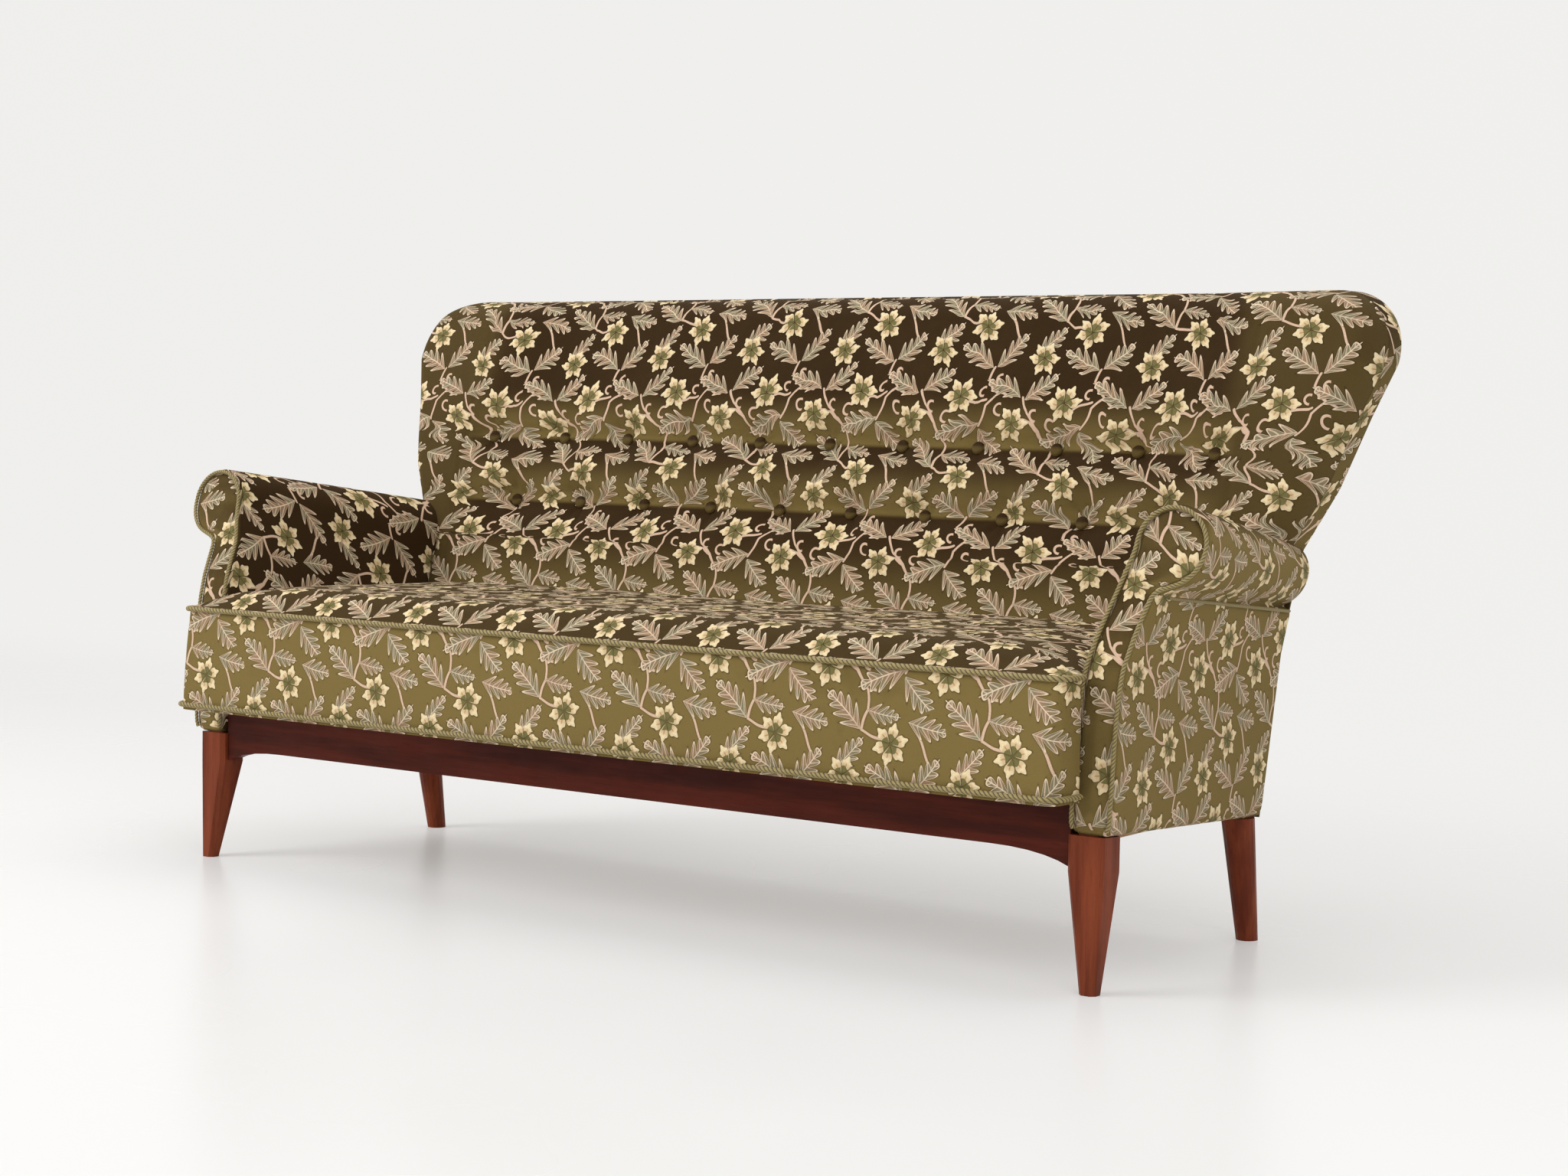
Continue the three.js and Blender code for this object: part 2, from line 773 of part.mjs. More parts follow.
function seat_webbing_solid() {
  const front = apron_front + gap;
  const rear = rear_rail_front() + rail_depth - gap;
  const half = arm_rear.inner - gap * 2;
  const low = rail_top + gap;
  const high = low + web_thickness;
  const sheet = box([-half, front, low], [half, rear, high]);
  const inner_front = apron_front + rail_depth;
  const inner_rear = rear_rail_front();
  const pitch_x = (half * 2 - rail_depth * 2) / seat_net_columns;
  const pitch_y = (inner_rear - inner_front) / seat_net_rows;
  const openings = [];
  for (let i = 0; i < seat_net_columns; i += 1) {
    for (let j = 0; j < seat_net_rows; j += 1) {
      const x = -half + rail_depth + pitch_x * (i + 1 / 2);
      const y = inner_front + pitch_y * (j + 1 / 2);
      const open_x = (pitch_x - band_width) / 2;
      const open_y = (pitch_y - band_width) / 2;
      openings.push(box([x - open_x, y - open_y, low - overrun], [x + open_x, y + open_y, high + overrun]));
    }
  }
  return net(sheet, openings);
}

const back_net_columns = 8;
const back_net_rows = 2;
function back_webbing_solid() {
  const near = back_wall + gap * 2 + back_frame_depth;
  const far = near + web_thickness;
  const half = arm_rear.roll_x - arm_rear.roll - soft_gap;
  const low = kink_height + gap;
  const sheet = back_slab(-half, half, low, top_rail_top, near, far);
  const first = low + back_rail_height;
  const last = top_rail_top - back_rail_height;
  const pitch_x = (half * 2) / back_net_columns;
  const pitch_z = (last - first) / back_net_rows;
  const openings = [];
  for (let i = 0; i < back_net_columns; i += 1) {
    for (let j = 0; j < back_net_rows; j += 1) {
      const x = -half + pitch_x * (i + 1 / 2);
      const z = first + pitch_z * (j + 1 / 2);
      const open_x = (pitch_x - band_width) / 2;
      const open_z = (pitch_z - band_width) / 2;
      openings.push(
        back_slab(x - open_x, x + open_x, z - open_z, z + open_z, near - overrun, far + overrun),
      );
    }
  }
  return net(sheet, openings);
}

// Seat frame
const rear_rail_front = () => rear_y(rail_top) - back_wall - back_frame_depth;

function apron_solid() {
  const half = front_leg.inner - gap;
  const haunch = half - haunch_length;
  const outline = new THREE.Shape();
  outline.moveTo(-half, rail_top);
  outline.lineTo(-half, apron_haunch);
  outline.quadraticCurveTo(-half + haunch_length / 3, apron_arch, -haunch, apron_arch);
  outline.lineTo(haunch, apron_arch);
  outline.quadraticCurveTo(half - haunch_length / 3, apron_arch, half, apron_haunch);
  outline.lineTo(half, rail_top);
  const curve_points = 5;
  const panel = new THREE.ExtrudeGeometry(outline, {
    depth: rail_depth,
    bevelEnabled: false,
    curveSegments: curve_points,
  });
  panel.rotateX(Math.PI / 2);
  panel.translate(0, apron_front + rail_depth, 0);
  return solid(panel);
}

function rear_rail_solid(grow = 0) {
  const half = back_rail_half + grow;
  const y = rear_rail_front();
  return box(
    [-half, y - grow, rail_top - rail_height - grow],
    [half, y + rail_depth + grow, rail_top + grow],
  );
}

// Rails between the back posts
function back_rail_solid(low, high, grow = 0) {
  const near = back_wall + gap;
  const half = back_rail_half + grow;
  return back_slab(-half, half, low - grow, high + grow, near - grow, near + back_frame_depth + grow);
}

const back_lower_rail_solid = (grow = 0) => back_rail_solid(kink_height, kink_height + back_rail_height, grow);
const back_top_rail_solid = () => back_rail_solid(top_rail_top - back_rail_height, top_rail_top);

// Outer face of the side rail at Y, straight from the apron to the rear rail
function side_rail_x(y) {
  const front = apron_front + rail_depth + gap;
  const rear = rear_rail_front() - gap;
  const outer = (at) => arm_inner_x(at, arm_front.bottom) - soft_gap;
  return lerp(outer(front), outer(rear), (y - front) / (rear - front));
}

// Side rail of the right side, between apron and rear rail
function side_rail_solid() {
  const front = apron_front + rail_depth + gap;
  const rear = rear_rail_front() - gap;
  const low = rail_top - rail_height;
  const ring = (y) => {
    const outer = side_rail_x(y);
    return [
      [outer - rail_depth, y, low],
      [outer, y, low],
      [outer, y, rail_top],
      [outer - rail_depth, y, rail_top],
    ];
  };
  return loft([ring(front), ring(rear)]);
}

function bearer_solid() {
  const front = apron_front + rail_depth + gap;
  const rear = rear_rail_front() - gap;
  return box(
    [-bearer_width / 2, front, rail_top - bearer_height],
    [bearer_width / 2, rear, rail_top],
  );
}

// Three-cornered block in a corner of the seat frame; face_y is the rail's face, turn its direction
function corner_block_solid(face_y, turn) {
  const near = face_y + turn * gap;
  const far = near + turn * block_leg;
  const side = (y) => side_rail_x(y) - rail_depth - gap * 3;
  const low = rail_top - block_height;
  const ring = (z) => [
    [side(near), near, z],
    [side(far), far, z],
    [side(near) - block_leg, near, z],
  ];
  return loft([ring(low), ring(rail_top)]);
}

// Springs stand on the webbing in two rows
function spring_solid(index) {
  const row_share = [1 / 3, 2 / 3];
  const front = cavity_front + spring_radius;
  const rear = seat_rear - cavity_rear_margin - spring_radius;
  const y = lerp(front, rear, row_share[index % 2]);
  const x = (Math.floor(index / 2) - 1) * spring_spacing * 2 + (index % 2 ? spring_spacing / 2 : -spring_spacing / 2);
  const steps = spring_curls * 8;
  const points = [];
  for (let i = 0; i <= steps; i += 1) {
    const turn = (i / steps) * spring_curls;
    const angle = turn * 2 * Math.PI;
    points.push([
      x + spring_radius * Math.cos(angle),
      y + spring_radius * Math.sin(angle),
      spring_seat + turn * spring_pitch,
    ]);
  }
  return cord(points, spring_wire, wire_sides, upward);
}

// Back: outline rings for the outside cover, from the hem to the top
const cover_levels_shares = [0, 0.316, 0.5, 0.617, 0.756, 0.86];
const corner_levels = 5;

function back_levels(inset) {
  const top = total_height - top_dip - inset;
  const corner_start = total_height - back_corner_radius;
  const levels = cover_levels_shares.map((share) => lerp(hem_height, corner_start, share / 0.86));
  for (let i = 1; i <= corner_levels; i += 1) {
    const angle = (i / corner_levels) * (Math.PI / 2);
    levels.push(lerp(corner_start, top, Math.sin(angle)));
  }
  return levels;
}

const pad_plane = back_wall + gap * 3 + back_frame_depth + web_thickness;

function back_shell(inset, front_reach, bottom_reach) {
  const rings = back_levels(inset).map((z, i) => {
    const level = i ? z : z - bottom_reach;
    const half = back_half(z) - inset;
    const far = rear_y(level) - pad_plane + gap - front_reach;
    const near = rear_y(level) - inset;
    return [
      [-half, far, level],
      [half, far, level],
      [half, near - back_wall, level],
      [half - back_wall, near, level],
      [-half + back_wall, near, level],
      [-half, near - back_wall, level],
    ];
  });
  return loft(rings);
}

// Both sides of a piece that is made for the right
const both = (make) => make.add(make.mirror([1, 0, 0]));

// Below the rolls the arms' own covers take the place of the side walls
function arm_side_room() {
  const inner = arm_rear.inner - soft_gap;
  const outer = from_table(back_outline, "half", arm_rear.roll_z) + overrun;
  return back_slab(inner, outer, hem_height - overrun, arm_rear.roll_z, back_wall, pad_plane + overrun);
}

function back_outer_cover_solid() {
  return back_shell(0, 0, 0)
    .subtract(back_shell(back_wall, overrun, overrun))
    .subtract(both(arm_side_room()))
    .subtract(both(arm_body(soft_gap)))
    .subtract(both(rear_post_solid(gap)))
    .subtract(both(rear_leg_clearance()));
}

function rear_leg_clearance() {
  return loft([
    round_ring(rear_foot_x, rear_foot_y, rear_leg.foot_radius + gap, 0),
    round_ring(rear_leg.top_x, rear_leg.top_y, rear_leg.top_radius + gap, hem_height + gap),
  ]);
}

// Places of the buttons, upper row first
function button_places() {
  const row = (count, z) =>
    Array.from({ length: count }, (_, i) => ({ x: (i - (count - 1) / 2) * button_pitch, z }));
  return [...row(button_upper_count, button_upper_height), ...row(button_lower_count, button_lower_height)];
}

function wing_at(x, z) {
  const out = smooth((Math.abs(x) - wing_start) / (wing_end - wing_start));
  const up = smooth((z - kink_height) / (button_upper_height - kink_height));
  return wing_depth * out * up;
}

const button_y = (x, z) => rear_y(z) - button_plane - wing_at(x, z);
const edge_round = (inside) => Math.sqrt(1 - (1 - clamp(inside / back_edge_radius)) ** 2);

// Front surface of the back at x and z, given how far the point lies inside the outline
function back_front_y(x, z, from_side, from_top) {
  let dimple = 0;
  for (const button of button_places()) {
    const away = Math.hypot(button.x - x, button.z - z) / tuft_spread;
    dimple = Math.max(dimple, Math.exp(-away * away));
  }
  const plane = rear_y(z) - pad_plane - back_hem;
  const surface = button_y(x, z) - back_puff * (1 - dimple);
  const round = edge_round(from_side) * edge_round(from_top);
  return lerp(plane, surface, round);
}

const pad_column_step = button_pitch / 4;
const pad_columns = 20; // each side of the middle, before the edge columns
const edge_column_shares = [0.3, 0.55, 0.74, 0.88, 0.965, 1];
const between = (low, high, shares) => shares.map((share) => lerp(low, high, share));
const pad_row_steps = [
  back_pad_bottom,
  ...between(back_pad_bottom, arm_rear.roll_z, [0.3877551]),
  arm_rear.roll_z,
  ...between(arm_rear.roll_z, button_lower_height, [0.6101695]),
  button_lower_height,
  ...between(button_lower_height, button_upper_height, [0.3300971, 0.6699029]),
  button_upper_height,
  ...between(button_upper_height, total_height, [0.1645022, 0.4761905, 0.8051948, 0.9350649]),
  total_height,
];

// Half width of the back pad: between the arms it ends inside them
const pad_half = (z) => (z > arm_rear.roll_z ? back_half(z) - gap : rear_leg.top_x);

function back_pad_body() {
  const rows = pad_row_steps;
  const columns = [];
  for (const share of [...edge_column_shares].reverse()) {
    columns.push({ side: -1, share });
  }
  for (let i = -pad_columns; i <= pad_columns; i += 1) {
    columns.push({ side: 0, step: i });
  }
  for (const share of edge_column_shares) {
    columns.push({ side: 1, share });
  }
  const spots = [];
  for (const row of rows) {
    const half = pad_half(row);
    const inner = pad_column_step * pad_columns;
    for (const column of columns) {
      const x = column.side ? column.side * lerp(inner, half, column.share) : column.step * pad_column_step;
      const along_top = clamp((row - button_upper_height) / (total_height - button_upper_height));
      const z = row - top_dip * along_top * (1 - (x / half) ** 2);
      spots.push([x, back_front_y(x, z, half - Math.abs(x), total_height - row), z]);
    }
  }
  const wide = columns.length;
  const faces = [];
  for (let j = 0; j + 1 < rows.length; j += 1) {
    for (let i = 0; i + 1 < wide; i += 1) {
      const a = j * wide + i;
      faces.push(a, a + 1, a + wide, a + 1, a + wide + 1, a + wide);
    }
  }
  const rim = [];
  for (let i = 0; i < wide; i += 1) {
    rim.push(i);
  }
  for (let j = 1; j < rows.length; j += 1) {
    rim.push(j * wide + wide - 1);
  }
  for (let i = wide - 2; i >= 0; i -= 1) {
    rim.push((rows.length - 1) * wide + i);
  }
  for (let j = rows.length - 2; j > 0; j -= 1) {
    rim.push(j * wide);
  }
  const first = spots.length;
  for (const index of rim) {
    const [x, , z] = spots[index];
    spots.push([x, rear_y(z) - pad_plane, z]);
  }
  for (let i = 0; i < rim.length; i += 1) {
    const next = (i + 1) % rim.length;
    faces.push(rim[i], first + i, rim[next], rim[next], first + i, first + next);
  }
  spots.push(middle_of(spots.slice(first)));
  faces.push(...fan_cap(rim.length, first, spots.length - 1, false));
  return solid(geometry_from(spots, faces));
}

const back_rake = Math.atan2(top_rear - kink_rear, total_height - kink_height);

// Puts a solid made on its own axis, facing up, onto a button's place, facing forward
function at_button(body, { x, z }) {
  const degrees = 90 - THREE.MathUtils.radToDeg(back_rake);
  return body.rotate([degrees, 0, 0]).translate([x, button_y(x, z), z]);
}

const button_sides = 10;
const pocket_sides = 6;

// Six-sided hollow round a button, wide enough for it between its flats
function button_pocket(place) {
  const radius = (button_radius + gap) / Math.cos(Math.PI / pocket_sides);
  return at_button(Manifold.cylinder(back_puff * 2, radius, radius, pocket_sides), place);
}

function button_solid(place) {
  const profile = [
    new THREE.Vector2(0, gap),
    new THREE.Vector2(button_radius * 0.9, gap),
    new THREE.Vector2(button_radius, gap + button_rim),
    new THREE.Vector2(button_radius * 0.8, gap + button_rise * 0.8),
    new THREE.Vector2(button_radius * 0.4, gap + button_rise),
    new THREE.Vector2(0, gap + button_rise * 1.05),
  ];
  const lathe = new THREE.LatheGeometry(profile, button_sides);
  lathe.rotateX(Math.PI / 2);
  return at_button(solid(lathe), place);
}

function back_pad_solid() {
  const pockets = button_places().map(button_pocket);
  return back_pad_body()
    .subtract(Manifold.union(pockets))
    .subtract(both(arm_body(soft_gap)))
    .subtract(both(rear_post_solid(gap)));
}

// Dust cover under the seat's overhang
function dust_cover_solid() {
  const half = arm_front.inner - soft_gap;
  const high = seat_underside - gap;
  return box(
    [-half, seat_front + welt_radius, high - dust_thickness],
    [half, apron_front - gap, high],
  );
}

// Assembly
const sofa = new THREE.Group();
sofa.name = "sofa";

function add(name, body, look) {
  const mesh = new THREE.Mesh(geometry_of(body), new THREE.MeshStandardMaterial(look));
  mesh.name = name;
  sofa.add(mesh);
}

function add_pair(name, body, look) {
  add(`${name}_right`, body, look);
  add(`${name}_left`, body.mirror([1, 0, 0]), look);
}

add_pair("front_leg", front_leg_solid().add(front_post_solid()), wood);
add_pair("rear_leg", rear_leg_solid(), wood);
add("front_apron", apron_solid(), wood);
add("rear_seat_rail", rear_rail_solid(), rough_wood);
add_pair("side_seat_rail", side_rail_solid(), rough_wood);
add("seat_bearer", bearer_solid(), rough_wood);
add_pair("front_corner_block", corner_block_solid(apron_front + rail_depth, 1), rough_wood);
add_pair("rear_corner_block", corner_block_solid(rear_rail_front(), -1), rough_wood);
add("seat_lip_rail", lip_rail_solid(), rough_wood);
add("seat_webbing", seat_webbing_solid(), jute);
for (let i = 0; i < spring_count; i += 1) {
  add(`seat_spring_${i + 1}`, spring_solid(i), spring_steel);
}
add("spring_canvas", spring_canvas_solid(), jute);
add("seat_pad", seat_pad_solid(), velvet);
add("seat_top_welt", seat_welt_solid(seat_welt_height - welt_radius, welt_radius), cord_yarn);
add("seat_bottom_welt", seat_welt_solid(seat_underside + welt_radius * 2, welt_radius), cord_yarn);
add("seat_dust_cover", dust_cover_solid(), lining);

add("back_top_rail", back_top_rail_solid(), rough_wood);
add("back_lower_rail", back_lower_rail_solid(), rough_wood);
add("back_webbing", back_webbing_solid(), jute);
add("back_pad", back_pad_solid(), velvet);
add("back_outer_cover", back_outer_cover_solid(), velvet);
for (const [i, place] of button_places().entries()) {
  add(`back_button_${i + 1}`, button_solid(place), velvet);
}
add_pair("arm_pad", arm_pad_solid(), velvet);
add_pair("arm_front_panel", arm_front_panel_solid(), velvet);
add_pair("arm_welt", arm_welt_solid(), cord_yarn);
add_pair("arm_top_rail", arm_top_rail_solid(), rough_wood);

// The origin becomes the bottom centre of the bounding box
const bounds = new THREE.Box3().setFromObject(sofa);
const middle = bounds.getCenter(new THREE.Vector3());
for (const mesh of sofa.children) {
  mesh.geometry.translate(-middle.x, -middle.y, -bounds.min.z);
}

export default sofa;
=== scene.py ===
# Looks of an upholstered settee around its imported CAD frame. Lengths are in metres.
# X runs to the right as seen from the front, Y to the back, Z up. In the size tables, Y counts from the
# front feet, as in the part's source, and Builder moves it to the frame's origin.
import math

import bpy
import numpy as np
from mathutils import Matrix, Vector


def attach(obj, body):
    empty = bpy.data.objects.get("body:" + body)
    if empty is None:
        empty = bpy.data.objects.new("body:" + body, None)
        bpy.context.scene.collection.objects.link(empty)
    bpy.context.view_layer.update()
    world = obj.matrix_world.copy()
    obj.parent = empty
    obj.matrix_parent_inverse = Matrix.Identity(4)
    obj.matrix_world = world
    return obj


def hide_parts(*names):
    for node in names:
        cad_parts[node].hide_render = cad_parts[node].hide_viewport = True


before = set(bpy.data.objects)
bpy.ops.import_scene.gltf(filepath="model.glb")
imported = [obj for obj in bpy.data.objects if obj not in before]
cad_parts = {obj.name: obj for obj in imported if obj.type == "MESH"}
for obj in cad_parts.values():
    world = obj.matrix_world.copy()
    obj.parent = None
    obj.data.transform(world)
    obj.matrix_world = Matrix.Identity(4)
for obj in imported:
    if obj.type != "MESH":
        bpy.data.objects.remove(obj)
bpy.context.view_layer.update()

BODY = "root"
SIDES = (("right", 1), ("left", -1))

# Sizes shared with the CAD
MIDDLE_Y = 0.2943  # from the front feet back to the frame's origin
TOP_Z = 0.893
TOP_DIP = 0.005
LINE_Z = (0.172, 0.400, 0.893)
LINE_Y = (0.470, 0.500, 0.675)
OUTLINE_Z = (0.172, 0.400, 0.532, 0.617, 0.717, 0.792)
OUTLINE_HALF = (0.787, 0.797, 0.802, 0.840, 0.868, 0.893)
CORNER_RADIUS = 0.092
BACK_BOTTOM = 0.402
PAD_PLANE = 0.0492
BUTTON_PLANE = 0.058
BACK_PUFF = 0.026
BACK_EDGE = 0.034
PAD_EDGE_HALF = 0.765
ROLL_REAR_Z = 0.500
WING_DEPTH = 0.028
WING_START = 0.560
WING_END = 0.720
BUTTON_PITCH = 0.1356
BUTTON_ROWS = ((11, 0.662), (10, 0.559))  # buttons in the row, height
BUTTON_RADIUS = 0.010
SEAT_FRONT = -0.077
SEAT_REAR = 0.415
SEAT_HALF = 0.788
SEAT_UNDER = 0.2386
SEAT_WELT = 0.397
SEAT_CORNER = 0.016
SEAT_LEAN = 0.015
LIP_DEPTH = 0.061
SEAT_WELT_RADIUS = 0.004
ARM_WELT_RADIUS = 0.003
PANEL_INSET = 0.0074
PANEL_THICKNESS = 0.0054
GAP = 0.0003
SOFT_GAP = 0.0008
BACK_WALL = 0.012
ARM = {
    "bottom": (0.197, 0.1723), "outer": (0.829, 0.790), "inner": (0.768, 0.742),
    "waist": (0.400, 0.390), "waist_outer": (0.836, 0.799), "waist_inner": (0.777, 0.745),
    "neck": (0.493, 0.452), "neck_outer": (0.851, 0.802), "neck_inner": (0.794, 0.747),
    "roll_x": (0.862, 0.776), "roll_z": (0.553, 0.500), "roll": (0.052, 0.043),
}  # at the front end, at the rear end
FACE_Z = (0.197, 0.340, 0.375, 0.405, 0.440, 0.470, 0.493, 0.553, 0.605)
FACE_Y = (-0.004, -0.001, 0.003, 0.009, 0.022, 0.037, 0.049, 0.068, 0.078)
ROLL_START = math.radians(-75)
ROLL_END = math.radians(186)

# The rows of buttons, from the lowest, and how far out they crease the back
ROW_HEIGHTS = tuple(sorted(height for _, height in BUTTON_ROWS))
VALLEY_END = 0.670
VALLEY_FADE = 0.060

# Waves of the padding's unevenness: rate, shift
WAVER_BEND = 1.3
WAVER_BEND_RATE = 0.7
WAVER_BROAD = (1.1, 0.8)
WAVER_FINE_A = (2.3, 2.1)
WAVER_FINE_B = (1.9, 0.4)


# Small maths
def lerp(a, b, t):
    return a + (b - a) * t


def smooth(value):
    t = np.clip(value, 0, 1)
    return t * t * (3 - 2 * t)


def rounded(share):
    """Height of a quarter circle, at a share of its radius in from its edge."""
    return np.sqrt(1 - (1 - np.clip(share, 0, 1)) ** 2)


def quarter(steps):
    """Angles from 0 to a right angle."""
    return [i / steps * math.pi / 2 for i in range(steps + 1)]


def bell(away, spread):
    return np.exp(-((away / spread) ** 2))


def wave(value, rate, shift):
    return np.sin(value * rate + shift)


def waver(a, b, size, depth):
    """Slow unevenness of hand-laid padding at places a, b."""
    bend = WAVER_BEND * np.sin(b / size * WAVER_BEND_RATE)
    broad = np.sin(a / size + bend) * wave(b / size, *WAVER_BROAD)
    fine = wave(a / size, *WAVER_FINE_A) * wave(b / size, *WAVER_FINE_B)
    return depth * (broad + fine / 2)


def stacked(*parts):
    return np.stack(np.broadcast_arrays(*parts), axis=-1)


def closed(ring):
    return np.vstack([ring, ring[:1]])


def rim_of(grid):
    """The outermost entries of a grid, in turn round it."""
    return np.concatenate([grid[0], grid[1:, -1], grid[-1, -2::-1], grid[-2:0:-1, 0]])


def lengths_along(points):
    """Distance run along each row of points."""
    steps = np.linalg.norm(np.diff(points, axis=-2), axis=-1)
    start = np.zeros(steps.shape[:-1] + (1,))
    return np.concatenate([start, np.cumsum(steps, axis=-1)], axis=-1)


def lengths_down(points):
    """Distance run down each column of points."""
    return lengths_along(np.swapaxes(points, 0, 1)).T


def resampled(points, step):
    points = np.array(points, float)
    run = lengths_along(points)
    count = max(2, int(run[-1] / step) + 1)
    at = np.linspace(0, run[-1], count)
    return stacked(*(np.interp(at, run, points[:, axis]) for axis in range(3))), at


# Forms that several pieces follow
def rear_y(z):
    return np.interp(z, LINE_Z, LINE_Y)


def face_y(z):
    return np.interp(z, FACE_Z, FACE_Y)


def back_half(z):
    flat = np.interp(z, OUTLINE_Z, OUTLINE_HALF)
    rise = np.clip(z - (TOP_Z - CORNER_RADIUS), 0, CORNER_RADIUS)
    return flat - CORNER_RADIUS + np.sqrt(CORNER_RADIUS**2 - rise**2)


def arm_end(z):
    return rear_y(z) - BACK_WALL - GAP


def above_buttons(z):
    """Share of the way from the upper row of buttons to the top of the back."""
    return np.clip((z - ROW_HEIGHTS[-1]) / (TOP_Z - ROW_HEIGHTS[-1]), 0, 1)


# Objects and meshes
def placed(name, data):
    """A new object in the scene that holds data."""
    made = bpy.data.objects.new(name, data)
    bpy.context.scene.collection.objects.link(made)
    return made


class Builder:
    """Collects the grids and caps of one piece. Each face corner has a place on the cloth, in metres."""

    def __init__(self):
        self.points = []
        self.faces = []
        self.places = []

    def cap(self, corners, places, flip=False):
        turn = -1 if flip else 1
        self.faces.append(list(corners)[::turn])
        self.places.extend(list(places)[::turn])

    def grid(self, points, places, flip=False):
        rows, columns = points.shape[:2]
        first = len(self.points)
        self.points.extend(points.reshape(-1, 3).tolist())
        flat = places.reshape(-1, 2)
        for j in range(rows - 1):
            for k in range(j * columns, (j + 1) * columns - 1):
                corners = [k, k + 1, k + 1 + columns, k + columns]
                self.cap([first + corner for corner in corners], flat[corners], flip)
        return first

    def tube(self, points, places, flip=False, ends=None):
        """A grid whose last column repeats its first, with a cap at each end."""
        first = self.grid(points, places, flip)
        rows, columns = points.shape[:2]
        last = first + (rows - 1) * columns
        near, far = ends or (places[0], places[-1])
        self.cap(range(first, first + columns - 1), near[:-1], not flip)
        self.cap(range(last, last + columns - 1), far[:-1], flip)

    def piece(self, name, look, angle):
        """The mesh object in the frame, with an edge drawn sharp where it bends more than angle."""
        points = np.array(self.points, float)
        points[:, 1] -= MIDDLE_Y
        mesh = bpy.data.meshes.new(name)
        mesh.from_pydata(points.tolist(), [], self.faces)
        layer = mesh.uv_layers.new(name="cloth")
        layer.data.foreach_set("uv", np.array(self.places, np.float32).ravel())
        mesh.polygons.foreach_set("use_smooth", np.ones(len(mesh.polygons), bool))
        mesh.update()
        mesh.validate()
        mesh.set_sharp_from_angle(angle=math.radians(angle))
        mesh.materials.append(look)
        return placed(name, mesh)


def dress(piece, nodes=()):
    """Hides the CAD nodes that a piece stands for and attaches the piece to its body."""
    if nodes:
        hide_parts(*nodes)
    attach(piece, BODY)


# Node helpers
def colour(red, green, blue):
    """An sRGB colour written in 0 to 255, as the linear colour that nodes take."""
    shares = [value / 255 for value in (red, green, blue)]
    linear = [c / 12.92 if c <= 0.0404 else ((c + 0.055) / 1.055) ** 2.4 for c in shares]
    return (*linear, 1.0)


def toned(tone, factor):
    return (*(min(1.0, c * factor) for c in tone[:3]), 1.0)


def of_value(operation):
    return lambda self, other=None: self.nodes.math(operation, self, other)


def of_nodes(operation):
    return lambda self, a, b=None: self.math(operation, a, b)


class Value:
    """A node's output. A sum or product of values makes a math node."""

    def __init__(self, nodes, socket):
        self.nodes = nodes
        self.socket = socket

    def __rsub__(self, other):
        return self.nodes.math("SUBTRACT", other, self)

    __add__ = of_value("ADD")
    __sub__ = of_value("SUBTRACT")
    __mul__ = of_value("MULTIPLY")
    __truediv__ = of_value("DIVIDE")
    __pow__ = of_value("POWER")
    __abs__ = of_value("ABSOLUTE")


MIX_SOCKETS = {"FLOAT": (2, 3, 0), "VECTOR": (4, 5, 1), "RGBA": (6, 7, 2)}  # first, second, output


